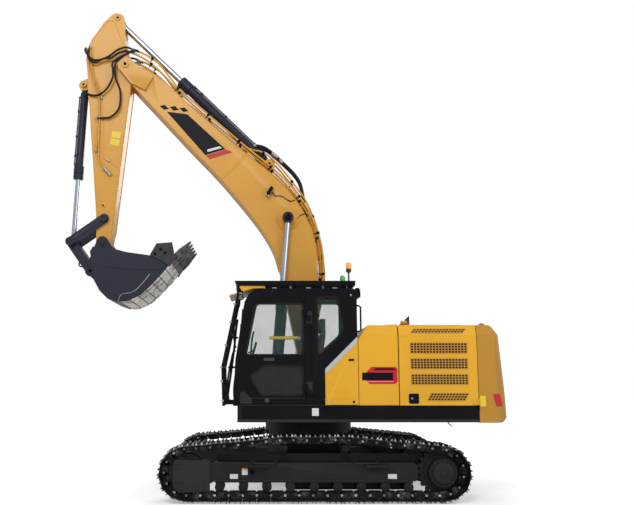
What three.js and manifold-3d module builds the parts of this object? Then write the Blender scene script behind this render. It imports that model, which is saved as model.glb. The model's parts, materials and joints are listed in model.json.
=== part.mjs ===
// Crawler excavator, long-undercarriage type, parked with its boom raised and its bucket curled.
//
// Millimetres, +Z up. The machine faces -X, its cab is on the -Y side, and the slewing axis is
// the line x = 0, y = 0 until the last step, which moves the whole machine along X so that the
// origin is the middle of the footprint of its bounding box.
//
// Outlines are lists of [x, z] points, extruded along Y. The boom, arm, bucket and cylinders
// are drawn in frames of their own: the pivot is the origin and the member points to -X.

import * as THREE from 'three';
import { mergeVertices } from 'three/addons/utils/BufferGeometryUtils.js';
import Module from 'manifold-3d';

const wasm = await Module();
wasm.setup();

// ---------------------------------------------------------------- clearances
const SEAT = 0.3; // between pieces that touch
const PIN_PLAY = 0.8; // radial, pin in bore or rod in gland
const SIDE_PLAY = 6; // beside pieces that move
const DOOR_GAP = 7; // round doors and panels
const GLASS_GAP = 0.5; // round window panes

// ---------------------------------------------------------------- undercarriage
const TRACK_LENGTH = 4460;
const TRACK_GAUGE = 2380;
const SHOE_WIDTH = 600;
const SHOE_COUNT = 49;
const TUMBLER_RADIUS = 409; // over the shoe lugs
const LUG_HEIGHT = 26;
const SHOE_THICKNESS = 12;
const LINK_HEIGHT = 97;
const RAIL_WIDTH = 60;
const RAIL_SPACE = 70;
const CARRIER_RISE = 130; // of the upper run over the carrier rollers
const ROLLER_RADIUS = 70;
const ROLLER_COUNT = 9;
const CARRIER_RADIUS = 58;
const CARRIER_X = [-430, 457];
const FRAME_WIDTH = 300;
const FRAME_LENGTH = TRACK_LENGTH - 1510; // of a track frame's beam, between idler and sprocket
const ROLLER_SPREAD = FRAME_LENGTH - 260; // first to last bottom roller
const FRAME_BOTTOM = 272;
const FRAME_TOP = 550;
const CARBODY_CLEARANCE = 440;
const CARBODY_TOP = 820;
const BEARING_RADIUS = 684;
const BEARING_HEIGHT = 168;

// ---------------------------------------------------------------- upper frame and house
const DECK_BOTTOM = 1113;
const DECK_TOP = 1346;
const DECK_HALF_WIDTH = 1360;
const DECK_FRONT = -1100;
const DECK_REAR = 2380;
const NOTCH_FRONT = -780; // the deck's middle stops here, between cab and toolbox
const NOTCH_HALF_WIDTH = 400;
const HOUSE_TOP = 2515;
const HOUSE_FRONT = 656;
const CREASE_HEIGHT = HOUSE_TOP - 147; // side panels lean inward above it
const CREASE_LEAN = 60;
const PANEL_THICKNESS = 40;
const PANEL_SPLIT = 1238; // seam between the side panel and the radiator door
const SHEET = 14; // house bulkheads
const TAIL_RADIUS = 3050; // of the counterweight, about the slewing axis
const TAIL_BOTTOM = 1107;
const BONNET_FRONT = 1310;
const BONNET_REAR = 2320;
const BONNET_HALF_WIDTH = 700;
const BONNET_HEIGHT = 55;
const EXHAUST_HEIGHT = 360;

// ---------------------------------------------------------------- cab
const CAB_WALL = 45;
const CAB_FLOOR = 60;
const CAB_ROOF = 3050;
const CAB_REAR = 645;
const CAB_HEEL = 165; // rear of the cab below its sloping rear edge
const CAB_FRONT = -1160; // at the floor
const GLASS = 8;
const PANE_DEPTH = 14; // of the windscreen, behind the cab's front
const HINGE_RADIUS = 16;

// ---------------------------------------------------------------- boom, arm, bucket
const ARM_HALF_WIDTH = 165;
const FORK_HALF_GAP = ARM_HALF_WIDTH + 25; // between the ears of the boom's nose
const BOOM_HALF_WIDTH = FORK_HALF_GAP + 15;
const BOOM_LENGTH = 5948;
const BOOM_FOOT = [0, 1900];
const BOOM_ELEVATION = 59.15;
const FOOT_PIN = 55;
const NOSE_RADIUS = 128;
const NOSE_PIN = 52;
const FORK_DEPTH = 480;
const EAR_WIDTH = 60;
const ARM_LENGTH = 3056;
const ARM_ELEVATION = -84.27;
const TIP_PIN = 42;
const BUCKET_ELEVATION = -177.4;
const BUCKET_HALF_WIDTH = 600;
const BUCKET_PLATE = 25;
const BUCKET_EAR = 60;
const TOOTH_COUNT = 5;

// Cylinder pins, in the frame of the member that carries them.
const BOOM_CYLINDER_FOOT = [-555, 1450];
const BOOM_CYLINDER_EYE = [-0.3818 * BOOM_LENGTH, 986];
const BOOM_CYLINDER_Y = BOOM_HALF_WIDTH + 95;
const ARM_CYLINDER_FOOT = [-0.5456 * BOOM_LENGTH, 1216];
const ARM_CYLINDER_EYE = [849, 250];
const BUCKET_CYLINDER_FOOT = [-379, 686];
const ROCKER_PIVOT = [-2662, 26];
const ROCKER_LENGTH = 667;
const ROCKER_ELEVATION = -35.48;
const LINK_LENGTH = 605.5;
const LINK_ELEVATION = -125.66;
const BUCKET_LINK_PIN = [155, 492];
const ROCKER_BAR = 40;

// Cylinders: radii, then the pin-to-pin length when fully drawn in.
const BOOM_CYLINDER = { barrel: 75, rod: 45, head: 84, eyeHalf: 50, closed: 1800, eyeRadius: 88 };
const ARM_CYLINDER = { barrel: 84, rod: 50, head: 100, eyeHalf: 55, closed: 2239, eyeRadius: 92 };
const BUCKET_CYLINDER = { barrel: 66, rod: 40, head: 84, eyeHalf: 50, closed: 1735, eyeRadius: 80 };
const CYLINDER_PIN = 42;

// Inner side of the cab, beside the boom cylinder's head.
const CAB_RIGHT = -(BOOM_CYLINDER_Y + BOOM_CYLINDER.head + 31);

// Facets of round pieces; a pin and its bore have the same number.
const PIN_SIDES = 20;
const TUBE_SIDES = 16;
const WHEEL_SIDES = 24;

// ---------------------------------------------------------------- finishes
const finish = (color, roughness, metalness = 0) =>
  new THREE.MeshStandardMaterial({ color, roughness, metalness });
const YELLOW = finish(0xe0a32c, 0.42);
const BOOM_YELLOW = finish(0xcf9640, 0.45);
const BLACK = finish(0x15161d, 0.5);
const NAVY = finish(0x252c3d, 0.55);
const STEEL = finish(0x77746e, 0.45, 0.9);
const CHROME = finish(0xd8dce2, 0.12, 1.0);
const TINTED = finish(0x9fb8b4, 0.08);
const CAST_IRON = finish(0x3a3a3c, 0.6, 0.4);

// ---------------------------------------------------------------- solids
const radians = THREE.MathUtils.degToRad;

function solid(geometry) {
  const plain = geometry.index ? geometry.toNonIndexed() : geometry;
  const points = new THREE.BufferGeometry();
  points.setAttribute('position', plain.getAttribute('position'));
  const welded = mergeVertices(points, 1e-3);
  return new wasm.Manifold(
    new wasm.Mesh({
      numProp: 3,
      vertProperties: new Float32Array(welded.getAttribute('position').array),
      triVerts: new Uint32Array(welded.index.array),
    }),
  );
}

function geometryOf(shape) {
  const mesh = shape.getMesh();
  const geometry = new THREE.BufferGeometry();
  geometry.setAttribute('position', new THREE.BufferAttribute(mesh.vertProperties, 3));
  geometry.setIndex(new THREE.BufferAttribute(mesh.triVerts, 1));
  geometry.computeVertexNormals();
  return geometry;
}

const join = (...shapes) => shapes.reduce((whole, shape) => whole.add(shape));
const cut = (shape, ...tools) => tools.reduce((whole, tool) => whole.subtract(tool), shape);

// Outline points forward of a pivot, given as [ahead, up].
const ahead = (points) => points.map(([u, v]) => [-u, v]);

function shapeOf(outline) {
  if (outline instanceof THREE.Shape) return outline;
  return new THREE.Shape(outline.map(([x, z]) => new THREE.Vector2(x, z)));
}

// An XZ outline extruded from y = low to y = high.
function slab(outline, low, high) {
  const geometry = new THREE.ExtrudeGeometry(shapeOf(outline), {
    depth: high - low,
    bevelEnabled: false,
    curveSegments: 8,
  });
  geometry.rotateX(Math.PI / 2);
  geometry.translate(0, high, 0);
  return solid(geometry);
}

// An XY outline extruded from z = low to z = high.
function plan(outline, low, high) {
  const geometry = new THREE.ExtrudeGeometry(shapeOf(outline), {
    depth: high - low,
    bevelEnabled: false,
    curveSegments: 8,
  });
  geometry.translate(0, 0, low);
  return solid(geometry);
}

// A YZ outline extruded from x = low to x = high.
function section(outline, low, high) {
  const geometry = new THREE.ExtrudeGeometry(shapeOf(outline), {
    depth: high - low,
    bevelEnabled: false,
  });
  geometry.rotateX(Math.PI / 2);
  geometry.rotateZ(Math.PI / 2);
  geometry.translate(low, 0, 0);
  return solid(geometry);
}

function box(x, y, z) {
  const geometry = new THREE.BoxGeometry(x[1] - x[0], y[1] - y[0], z[1] - z[0]);
  geometry.translate((x[0] + x[1]) / 2, (y[0] + y[1]) / 2, (z[0] + z[1]) / 2);
  return solid(geometry);
}

// A cylinder along Y, with its axis through [x, z].
function disc([x, z], radius, low, high, sides = PIN_SIDES) {
  const geometry = new THREE.CylinderGeometry(radius, radius, high - low, sides);
  geometry.translate(x, (low + high) / 2, z);
  return solid(geometry);
}

// A cylinder along Z.
function post([x, y], radius, low, high, sides = TUBE_SIDES, topRadius = radius) {
  const geometry = new THREE.CylinderGeometry(topRadius, radius, high - low, sides);
  geometry.rotateX(Math.PI / 2);
  geometry.translate(x, y, (low + high) / 2);
  return solid(geometry);
}

// A cylinder along -X, from one distance ahead of the pivot to another.
function bar(from, to, radius, sides = TUBE_SIDES) {
  const geometry = new THREE.CylinderGeometry(radius, radius, to - from, sides);
  geometry.rotateZ(Math.PI / 2);
  geometry.translate(-(from + to) / 2, 0, 0);
  return solid(geometry);
}

// The same solid on both sides of the machine.
const mirrored = (make) => join(make(1), make(-1));

// A slab between y = a and y = b on the side given by sign.
const sideSlab = (outline, sign, a, b) =>
  slab(outline, Math.min(sign * a, sign * b), Math.max(sign * a, sign * b));

const sideDisc = (centre, radius, sign, a, b, sides) =>
  disc(centre, radius, Math.min(sign * a, sign * b), Math.max(sign * a, sign * b), sides);

// Two round ends joined by straight edges: the plan of a bar, link or lug.
function strapOutline(a, b, radiusA, radiusB, steps = 6) {
  const angle = Math.atan2(b[1] - a[1], b[0] - a[0]);
  const points = [];
  for (const [centre, radius, start] of [[b, radiusB, -Math.PI / 2], [a, radiusA, Math.PI / 2]]) {
    for (let i = 0; i <= steps; i += 1) {
      const turn = angle + start + (Math.PI * i) / steps;
      points.push([centre[0] + radius * Math.cos(turn), centre[1] + radius * Math.sin(turn)]);
    }
  }
  return points;
}

// Smooth points through a few chosen ones.
function smooth(points, count) {
  const curve = new THREE.SplineCurve(points.map(([x, z]) => new THREE.Vector2(x, z)));
  return curve.getPoints(count).map((p) => [p.x, p.y]);
}

// Points of an arc, angles in degrees.
function arc([x, z], radius, from, to, steps) {
  const points = [];
  for (let i = 0; i <= steps; i += 1) {
    const turn = radians(from + ((to - from) * i) / steps);
    points.push([x + radius * Math.cos(turn), z + radius * Math.sin(turn)]);
  }
  return points;
}

// The outline moved inward by a wall; outlines run anticlockwise.
function inset(outline, wall) {
  const count = outline.length;
  const walls = outline.map((_, i) => (typeof wall === 'function' ? wall(i) : wall));
  const edges = outline.map((p, i) => {
    const q = outline[(i + 1) % count];
    const length = Math.hypot(q[0] - p[0], q[1] - p[1]);
    const normal = [-(q[1] - p[1]) / length, (q[0] - p[0]) / length];
    return { normal, offset: p[0] * normal[0] + p[1] * normal[1] + walls[i] };
  });
  return edges.map((edge, i) => {
    const before = edges[(i + count - 1) % count];
    const det = before.normal[0] * edge.normal[1] - before.normal[1] * edge.normal[0];
    return [
      (before.offset * edge.normal[1] - edge.offset * before.normal[1]) / det,
      (edge.offset * before.normal[0] - before.offset * edge.normal[0]) / det,
    ];
  });
}

// Elevation of the line from one point to another, in degrees above straight ahead (-X).
const elevationOf = (from, to) =>
  THREE.MathUtils.radToDeg(Math.atan2(to[1] - from[1], from[0] - to[0]));
const distance = (a, b) => Math.hypot(b[0] - a[0], b[1] - a[1]);

// A point of a member's own frame, in the frame that carries its pivot.
function place([x, z], pivot, elevation) {
  const e = radians(elevation);
  return [
    pivot[0] + x * Math.cos(e) + z * Math.sin(e),
    pivot[1] - x * Math.sin(e) + z * Math.cos(e),
  ];
}

function addMesh(parent, name, shape, material) {
  const mesh = new THREE.Mesh(geometryOf(shape), material);
  mesh.name = name;
  parent.add(mesh);
}

function frameAt(parent, [x, z], elevation = 0) {
  const frame = new THREE.Group();
  frame.position.set(x, 0, z);
  frame.rotation.y = radians(elevation);
  parent.add(frame);
  return frame;
}

// ---------------------------------------------------------------- tracks
const shoeHeight = LUG_HEIGHT + SHOE_THICKNESS;
const chainHeight = shoeHeight + LINK_HEIGHT;
const tumblerX = TRACK_LENGTH / 2 - TUMBLER_RADIUS;
const trackTop = 2 * TUMBLER_RADIUS;
const railInner = TUMBLER_RADIUS - chainHeight;
const trackY = TRACK_GAUGE / 2;

// The outside of the track: flat below, round at both ends, humped over the carrier rollers.
function trackLoop() {
  const loop = new THREE.Path();
  const hump = (x, share) => new THREE.Vector2(x, trackTop + CARRIER_RISE * share);
  const middle = (CARRIER_X[0] + CARRIER_X[1]) / 2;
  loop.moveTo(-tumblerX, 0);
  loop.lineTo(tumblerX, 0);
  loop.absarc(tumblerX, TUMBLER_RADIUS, TUMBLER_RADIUS, -Math.PI / 2, Math.PI / 2, false);
  loop.splineThru([
    hump((tumblerX + CARRIER_X[1]) / 2, 0.5),
    hump(CARRIER_X[1], 1),
    hump(middle, 0.94),
    hump(CARRIER_X[0], 1),
    hump((CARRIER_X[0] - tumblerX) / 2, 0.45),
    new THREE.Vector2(-tumblerX, trackTop),
  ]);
  loop.absarc(-tumblerX, TUMBLER_RADIUS, TUMBLER_RADIUS, Math.PI / 2, (3 * Math.PI) / 2, false);
  return loop;
}

// Straight shoes on a round tumbler bring their middles nearer to its axis by this factor.
const shoePitch = trackLoop().getLength() / SHOE_COUNT;
const chordFactor = Math.cos(shoePitch / TUMBLER_RADIUS / 2);

// Points along the loop, each at its own depth below the lugs.
function loopPoints(loop, stations) {
  return stations.map(([share, depth]) => {
    const point = loop.getPoint(share % 1);
    const tangent = loop.getTangent(share % 1);
    return new THREE.Vector2(point.x - tangent.y * depth, point.y + tangent.x * depth);
  });
}

function shoeStations() {
  const stations = [];
  for (let i = 0; i < SHOE_COUNT; i += 1) {
    for (const [share, depth] of [[0.08, 0], [0.82, 0], [0.95, LUG_HEIGHT]]) {
      stations.push([(i + share) / SHOE_COUNT, depth]);
    }
  }
  return stations;
}

const evenStations = (depth) =>
  Array.from({ length: SHOE_COUNT }, (_, i) => [i / SHOE_COUNT, depth]);

function trackRing(outer, inner, low, high) {
  const ring = new THREE.Shape(outer);
  ring.holes.push(new THREE.Path(inner));
  return slab(ring, low, high);
}

function track(sign) {
  const loop = trackLoop();
  const centre = sign * trackY;
  const railMiddle = (RAIL_SPACE + RAIL_WIDTH) / 2;
  const shoes = trackRing(
    loopPoints(loop, shoeStations()),
    loopPoints(loop, evenStations(shoeHeight)),
    centre - SHOE_WIDTH / 2,
    centre + SHOE_WIDTH / 2,
  );
  const rails = [railMiddle, -railMiddle].map((offset) =>
    trackRing(
      loopPoints(loop, evenStations(shoeHeight - 2)),
      loopPoints(loop, evenStations(chainHeight)),
      centre + offset - RAIL_WIDTH / 2,
      centre + offset + RAIL_WIDTH / 2,
    ),
  );
  return join(shoes, ...rails);
}

// ---------------------------------------------------------------- track frames
const frameInner = trackY - FRAME_WIDTH / 2;
const frameOuter = trackY + FRAME_WIDTH / 2;
const idlerRadius = railInner * chordFactor - 2;
const idlerAxis = [-tumblerX, TUMBLER_RADIUS];
const sprocketAxis = [tumblerX, TUMBLER_RADIUS];
const hubRadius = 200;
const motorRadius = 170;
const bracketPlate = 28;

function frameBeam(sign) {
  const half = FRAME_LENGTH / 2;
  const outline = [
    [-half, FRAME_BOTTOM + 30], [-half + 80, FRAME_BOTTOM], [half - 100, FRAME_BOTTOM],
    [half, FRAME_BOTTOM + 50], [half, FRAME_TOP - 40], [half - 60, FRAME_TOP],
    [-half + 60, FRAME_TOP], [-half, FRAME_TOP - 40],
  ];
  return sideSlab(outline, sign, frameInner, frameOuter);
}

function bottomRollers(sign) {
  const axle = chainHeight + SEAT + ROLLER_RADIUS;
  const reach = trackY - frameInner - 20;
  const rollers = [];
  for (let i = 0; i < ROLLER_COUNT; i += 1) {
    const x = -ROLLER_SPREAD / 2 + (ROLLER_SPREAD * i) / (ROLLER_COUNT - 1);
    rollers.push(sideDisc([x, axle], ROLLER_RADIUS, sign, trackY - reach, trackY + reach, 12));
  }
  return join(...rollers);
}

function carrierRollers(sign) {
  const height = trackTop + CARRIER_RISE - chainHeight - CARRIER_RADIUS - 4;
  return join(...CARRIER_X.map((x) => {
    const support = [[x - 60, FRAME_TOP - 10], [x + 60, FRAME_TOP - 10], [x + 32, height + 20],
      [x - 32, height + 20]];
    return join(
      sideSlab(support, sign, frameInner, frameInner + 30),
      sideDisc([x, height], 26, sign, frameInner + 10, trackY - 90, 8),
      sideDisc([x, height], CARRIER_RADIUS, sign, trackY - 100, trackY + 100, 12),
    );
  }));
}

// Two plates hold the idler's axle, the outer one also being its cover.
function idlerYoke(sign) {
  const [x, z] = idlerAxis;
  const half = FRAME_LENGTH / 2;
  const cover = [
    ...arc([x, z], 240, 110, 250, 8), [x + 120, FRAME_BOTTOM - 90], [-half + 30, FRAME_BOTTOM],
    [-half + 30, FRAME_TOP], [x + 60, FRAME_TOP + 29],
  ];
  return join(
    sideSlab(cover, sign, frameInner, frameInner + 25),
    sideSlab(cover, sign, frameOuter - 25, frameOuter),
    sideDisc(idlerAxis, 45, sign, frameInner + 5, frameOuter - 5, 8),
  );
}

// A wheel that runs on both rails, with a rim between them.
function idlerWheel(sign) {
  const rails = RAIL_SPACE / 2 + RAIL_WIDTH;
  const flange = RAIL_SPACE / 2 - 6;
  return join(
    sideDisc(idlerAxis, idlerRadius, sign, trackY - rails, trackY + rails, WHEEL_SIDES),
    sideDisc(idlerAxis, idlerRadius + 30, sign, trackY - flange, trackY + flange, WHEEL_SIDES),
    sideDisc(idlerAxis, 100, sign, frameInner + 20, frameOuter - 20, 12),
  );
}

function sprocketBracket(sign) {
  const [x, z] = sprocketAxis;
  const half = FRAME_LENGTH / 2;
  const plate = [
    [half - 60, FRAME_BOTTOM + 30], [x - 60, z - 225], ...arc([x, z], 233, -75, 75, 10),
    [x - 60, z + 225], [half - 60, FRAME_TOP - 20],
  ];
  return join(
    sideSlab(plate, sign, frameInner, frameInner + bracketPlate),
    sideDisc(sprocketAxis, motorRadius, sign, frameInner - 110, frameInner + 5),
  );
}

function steps(sign) {
  return join(...[-820, 900].map((x) =>
    box([x - 170, x + 170], sign > 0 ? [frameOuter - 5, frameOuter + 95]
      : [-frameOuter - 95, -frameOuter + 5], [FRAME_TOP - 60, FRAME_TOP - 30])));
}

function trackFrame(sign) {
  return join(
    frameBeam(sign), bottomRollers(sign), carrierRollers(sign), idlerYoke(sign),
    idlerWheel(sign), sprocketBracket(sign), steps(sign),
  );
}

// The toothed wheel and the final drive's drum, which reaches out past the chain.
function sprocket(sign) {
  const teeth = 21;
  const outline = [];
  for (let i = 0; i < teeth; i += 1) {
    for (const [share, radius] of [[0, 288], [0.35, 336], [0.65, 336]]) {
      const turn = (2 * Math.PI * (i + share)) / teeth;
      outline.push([
        sprocketAxis[0] + radius * Math.cos(turn),
        sprocketAxis[1] + radius * Math.sin(turn),
      ]);
    }
  }
  const web = RAIL_SPACE / 2 - 10;
  return join(
    sideSlab(outline, sign, trackY - web, trackY + web),
    sideDisc(sprocketAxis, hubRadius + 40, sign, frameInner + bracketPlate + SEAT, trackY + 60, WHEEL_SIDES),
    sideDisc(sprocketAxis, hubRadius, sign, trackY + 50, trackY + 225, WHEEL_SIDES),
    sideDisc(sprocketAxis, hubRadius - 70, sign, trackY + 220, trackY + 240, 12),
  );
}

// ---------------------------------------------------------------- carbody
const bearingTop = DECK_BOTTOM - 15;

function carbody() {
  const reach = frameInner - SEAT;
  const legs = [];
  for (const sx of [1, -1]) {
    for (const sy of [1, -1]) {
      const outline = [[sx * 180, sy * 560], [sx * 560, sy * 200], [sx * 1180, sy * reach],
        [sx * 700, sy * reach]];
      legs.push(plan(outline, FRAME_BOTTOM + 45, FRAME_TOP + 60));
    }
  }
  const core = plan([
    [-640, -420], [-420, -680], [420, -680], [640, -420],
    [640, 420], [420, 680], [-420, 680], [-640, 420],
  ], CARBODY_CLEARANCE, CARBODY_TOP);
  return join(
    cut(join(...legs), box([-2000, 2000], [-1200, 1200], [0, FRAME_BOTTOM + 46])),
    core,
    post([0, 0], BEARING_RADIUS - 50, CARBODY_TOP - 10, bearingTop - BEARING_HEIGHT + 2, 36),
    post([0, 0], BEARING_RADIUS, bearingTop - BEARING_HEIGHT, bearingTop, 36),
  );
}

// ---------------------------------------------------------------- service door hinges
// Each service door turns on a knuckle that stands on a bracket of the deck's edge.
const SERVICE_HINGE_RADIUS = 14;
const SERVICE_HINGE_SPLIT = DECK_TOP + 14; // between bracket and knuckle
const serviceHingeY = DECK_HALF_WIDTH + SERVICE_HINGE_RADIUS + 1;
const frontHinge = [CAB_HEEL + 2 * DOOR_GAP, -serviceHingeY];
const radiatorHinge = [DECK_REAR - 12, -serviceHingeY];
const pumpHinge = [DECK_REAR - 12, serviceHingeY];

function hingeBracket([x, y]) {
  const r = SERVICE_HINGE_RADIUS;
  const inner = Math.sign(y) * (DECK_HALF_WIDTH - 5);
  return join(
    post([x, y], r, DECK_TOP - 60, SERVICE_HINGE_SPLIT - SEAT, 12),
    box([x - r + 2, x + r - 2], [Math.min(y, inner), Math.max(y, inner)],
      [DECK_TOP - 60, DECK_TOP]),
  );
}

// The knuckle and its leaf, which runs along the door's face; ahead or behind by the sign.
function hingeKnuckle([x, y], sign) {
  const face = Math.sign(y) * (DECK_HALF_WIDTH - 5);
  const outer = y - Math.sign(y) * 6;
  const tip = x + sign * 70;
  const z = [SERVICE_HINGE_SPLIT, SERVICE_HINGE_SPLIT + 90];
  return join(
    post([x, y], SERVICE_HINGE_RADIUS, ...z, 12),
    box([Math.min(x, tip), Math.max(x, tip)], [Math.min(face, outer), Math.max(face, outer)], z),
  );
}

// ---------------------------------------------------------------- deck
const bracketInner = BOOM_HALF_WIDTH + SIDE_PLAY;
const bracketOuter = bracketInner + 50;
const cylinderEyeHalf = BOOM_CYLINDER.eyeHalf;

function deckPlate() {
  const rear = DECK_REAR;
  const w = DECK_HALF_WIDTH;
  const n = NOTCH_HALF_WIDTH;
  return plan([
    [DECK_FRONT + 70, -w], [rear, -w], [rear, w], [DECK_FRONT + 70, w], [DECK_FRONT, w - 110],
    [DECK_FRONT, n], [NOTCH_FRONT, n], [NOTCH_FRONT, -n], [DECK_FRONT, -n],
    [DECK_FRONT, -w + 110],
  ], DECK_BOTTOM, DECK_TOP);
}

function boomBracket(sign) {
  const [x, z] = BOOM_FOOT;
  const outline = [
    [x - 330, DECK_TOP - 10], [x + 520, DECK_TOP - 10], [x + 420, DECK_TOP + 120],
    ...arc([x, z], 140, -10, 190, 10),
  ];
  return sideSlab(outline, sign, bracketInner, bracketOuter);
}

function cylinderLugs(sign) {
  const [x, z] = BOOM_CYLINDER_FOOT;
  const outline = [[x - 92, DECK_TOP - 10], [x + 130, DECK_TOP - 10], ...arc([x, z], 85, 0, 180, 8)];
  const gap = cylinderEyeHalf + SIDE_PLAY;
  return join(
    sideSlab(outline, sign, BOOM_CYLINDER_Y - gap - 30, BOOM_CYLINDER_Y - gap),
    sideSlab(outline, sign, BOOM_CYLINDER_Y + gap, BOOM_CYLINDER_Y + gap + 30),
    sideDisc(BOOM_CYLINDER_FOOT, CYLINDER_PIN, sign, BOOM_CYLINDER_Y - gap - 20,
      BOOM_CYLINDER_Y + gap + 20),
  );
}

function deck() {
  return join(
    deckPlate(),
    mirrored(boomBracket),
    disc(BOOM_FOOT, FOOT_PIN, -bracketOuter + 5, bracketOuter - 5),
    mirrored(cylinderLugs),
    ...[frontHinge, radiatorHinge, pumpHinge].map(hingeBracket),
    post([0, 0], BEARING_RADIUS - 80, bearingTop + SEAT, DECK_BOTTOM + 5, 36),
  );
}

// ---------------------------------------------------------------- house
const base = DECK_TOP + SEAT;
const panelOuter = DECK_HALF_WIDTH;
const panelInner = DECK_HALF_WIDTH - PANEL_THICKNESS;
const doorBottom = DECK_TOP + DOOR_GAP;
const topEdge = panelInner - CREASE_LEAN - DOOR_GAP; // half width of the house's top plate
const noseRise = 211; // the side panel's top front corner is cut this far down and back
const noseRun = 150;
const bulkheadEdge = panelInner - 8;

// The bent section of a side panel, between two places along X.
function bentSheet(sign, low, high) {
  const lean = CREASE_LEAN;
  const outline = [
    [sign * panelOuter, doorBottom], [sign * panelOuter, CREASE_HEIGHT],
    [sign * (panelOuter - lean), HOUSE_TOP], [sign * (panelInner - lean), HOUSE_TOP],
    [sign * panelInner, CREASE_HEIGHT], [sign * panelInner, doorBottom],
  ];
  return section(sign > 0 ? outline : outline.reverse(), low, high);
}

function sidePanel() {
  const outline = [
    [HOUSE_FRONT, doorBottom], [PANEL_SPLIT - DOOR_GAP, doorBottom],
    [PANEL_SPLIT - DOOR_GAP, HOUSE_TOP], [HOUSE_FRONT + noseRun, HOUSE_TOP],
    [HOUSE_FRONT, HOUSE_TOP - noseRise],
  ];
  return bentSheet(-1, HOUSE_FRONT, PANEL_SPLIT - DOOR_GAP)
    .intersect(slab(outline, -panelOuter - 1, 0));
}

function sideDoor(sign, hinge) {
  const sheet = bentSheet(sign, PANEL_SPLIT + DOOR_GAP, DECK_REAR - DOOR_GAP);
  return join(sheet, hingeKnuckle(hinge, -1));
}

// Fills the corner under the cab's sloping rear edge.
function frontDoor() {
  const slope = (CAB_REAR - CAB_HEEL) / (cabRearKnee - cabHeelTop);
  const left = CAB_HEEL + DOOR_GAP;
  const right = HOUSE_FRONT - DOOR_GAP;
  const drop = 16; // keeps the sloping edge clear of the cab
  const outline = [
    [left, doorBottom], [right, doorBottom],
    [right, cabHeelTop - drop + (right - CAB_HEEL) / slope],
    [left, cabHeelTop - drop + (left - CAB_HEEL) / slope],
  ];
  return join(slab(outline, -panelOuter, -panelInner), hingeKnuckle(frontHinge, 1));
}

// Bulkheads and top plates of the engine house, open at both sides for the doors.
function houseFrame() {
  const x = HOUSE_FRONT + 8;
  const nose = HOUSE_FRONT + noseRun + 8;
  const top = HOUSE_TOP - 6;
  const firewall = PANEL_SPLIT - SHEET / 2;
  const frontWall = slab([
    [x, base], [x + SHEET, base], [x + SHEET, HOUSE_TOP - noseRise - 12],
    [nose + 12, top - SHEET], [firewall + SHEET, top - SHEET], [firewall + SHEET, top],
    [nose, top], [x, HOUSE_TOP - noseRise - 4],
  ], -topEdge, tankInner - SEAT);
  const frontEdge = box([x, x + SHEET], [-panelInner + SEAT, -topEdge + 10],
    [base, CREASE_HEIGHT - 20]);
  const wall = join(
    box([firewall, firewall + SHEET], [-topEdge, topEdge], [base, top]),
    box([firewall, firewall + SHEET], [-bulkheadEdge, bulkheadEdge], [base, CREASE_HEIGHT - 20]),
  );
  const topPlate = cut(
    box([firewall, DECK_REAR - 10], [-topEdge, topEdge], [HOUSE_TOP - 36, HOUSE_TOP]),
    box([BONNET_FRONT + 40, BONNET_REAR - 40],
      [-BONNET_HALF_WIDTH + 50, BONNET_HALF_WIDTH - 50], [HOUSE_TOP - 50, HOUSE_TOP + 10]),
  );
  const posts = mirrored((sign) => box([DECK_REAR - 50, DECK_REAR - 10],
    sign > 0 ? [topEdge - 90, topEdge] : [-topEdge, -topEdge + 90], [base, HOUSE_TOP - 5]));
  return join(frontWall, frontEdge, wall, topPlate, posts);
}

function bonnet() {
  const rim = 40;
  const geometryLow = HOUSE_TOP + SEAT;
  const lower = box([BONNET_FRONT, BONNET_REAR], [-BONNET_HALF_WIDTH, BONNET_HALF_WIDTH],
    [geometryLow, geometryLow + BONNET_HEIGHT]);
  const chamfer = mirrored((sign) => {
    const w = sign * BONNET_HALF_WIDTH;
    const z = geometryLow + BONNET_HEIGHT;
    const outline = [[w + sign, z - rim / 2], [w + sign, z + 1], [w - sign * rim, z + 1]];
    return section(outline, BONNET_FRONT - 1, BONNET_REAR + 1);
  });
  return cut(lower, chamfer);
}

// Its plan is an arc about the slewing axis; its sides lean in towards the top.
function counterweight() {
  const z = TAIL_BOTTOM;
  const profile = [
    [0, z], [TAIL_RADIUS - 40, z], [TAIL_RADIUS, z + 60], [TAIL_RADIUS - 20, z + 480],
    [TAIL_RADIUS - 80, HOUSE_TOP - 120], [TAIL_RADIUS - 170, HOUSE_TOP], [0, HOUSE_TOP],
  ];
  const geometry = new THREE.LatheGeometry(profile.map(([r, h]) => new THREE.Vector2(r, h)), 96);
  geometry.rotateX(Math.PI / 2);
  const lean = [
    [-panelOuter, z], [panelOuter, z], [panelOuter, CREASE_HEIGHT],
    [panelOuter - CREASE_LEAN, HOUSE_TOP + 1], [-panelOuter + CREASE_LEAN, HOUSE_TOP + 1],
    [-panelOuter, CREASE_HEIGHT],
  ];
  const corner = 260;
  const x = DECK_REAR + SEAT;
  const shape = [
    [x, -panelOuter - 1], [TAIL_RADIUS - 420, -panelOuter - 1],
    [TAIL_RADIUS + 10, -panelOuter + corner + 60], [TAIL_RADIUS + 10, panelOuter - corner - 60],
    [TAIL_RADIUS - 420, panelOuter + 1], [x, panelOuter + 1],
  ];
  return solid(geometry)
    .intersect(section(lean, x - 1, TAIL_RADIUS + 20))
    .intersect(plan(shape, z - 1, HOUSE_TOP + 1));
}

const ENGINE = { x: [1480, 2180], y: [-560, 520], top: HOUSE_TOP - 285 };
const engineBlock = () => box(ENGINE.x, ENGINE.y, [base, ENGINE.top]);

const tankInner = 560;
const TANK_SPLIT = 560;
const TANK_FRONT = -150;
const TOOLBOX_FRONT = -1000;
const FUEL_TOP = HOUSE_TOP - 265;
const HYDRAULIC_TOP = HOUSE_TOP - 115;
const TOOLBOX_TOP = 1760;

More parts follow.
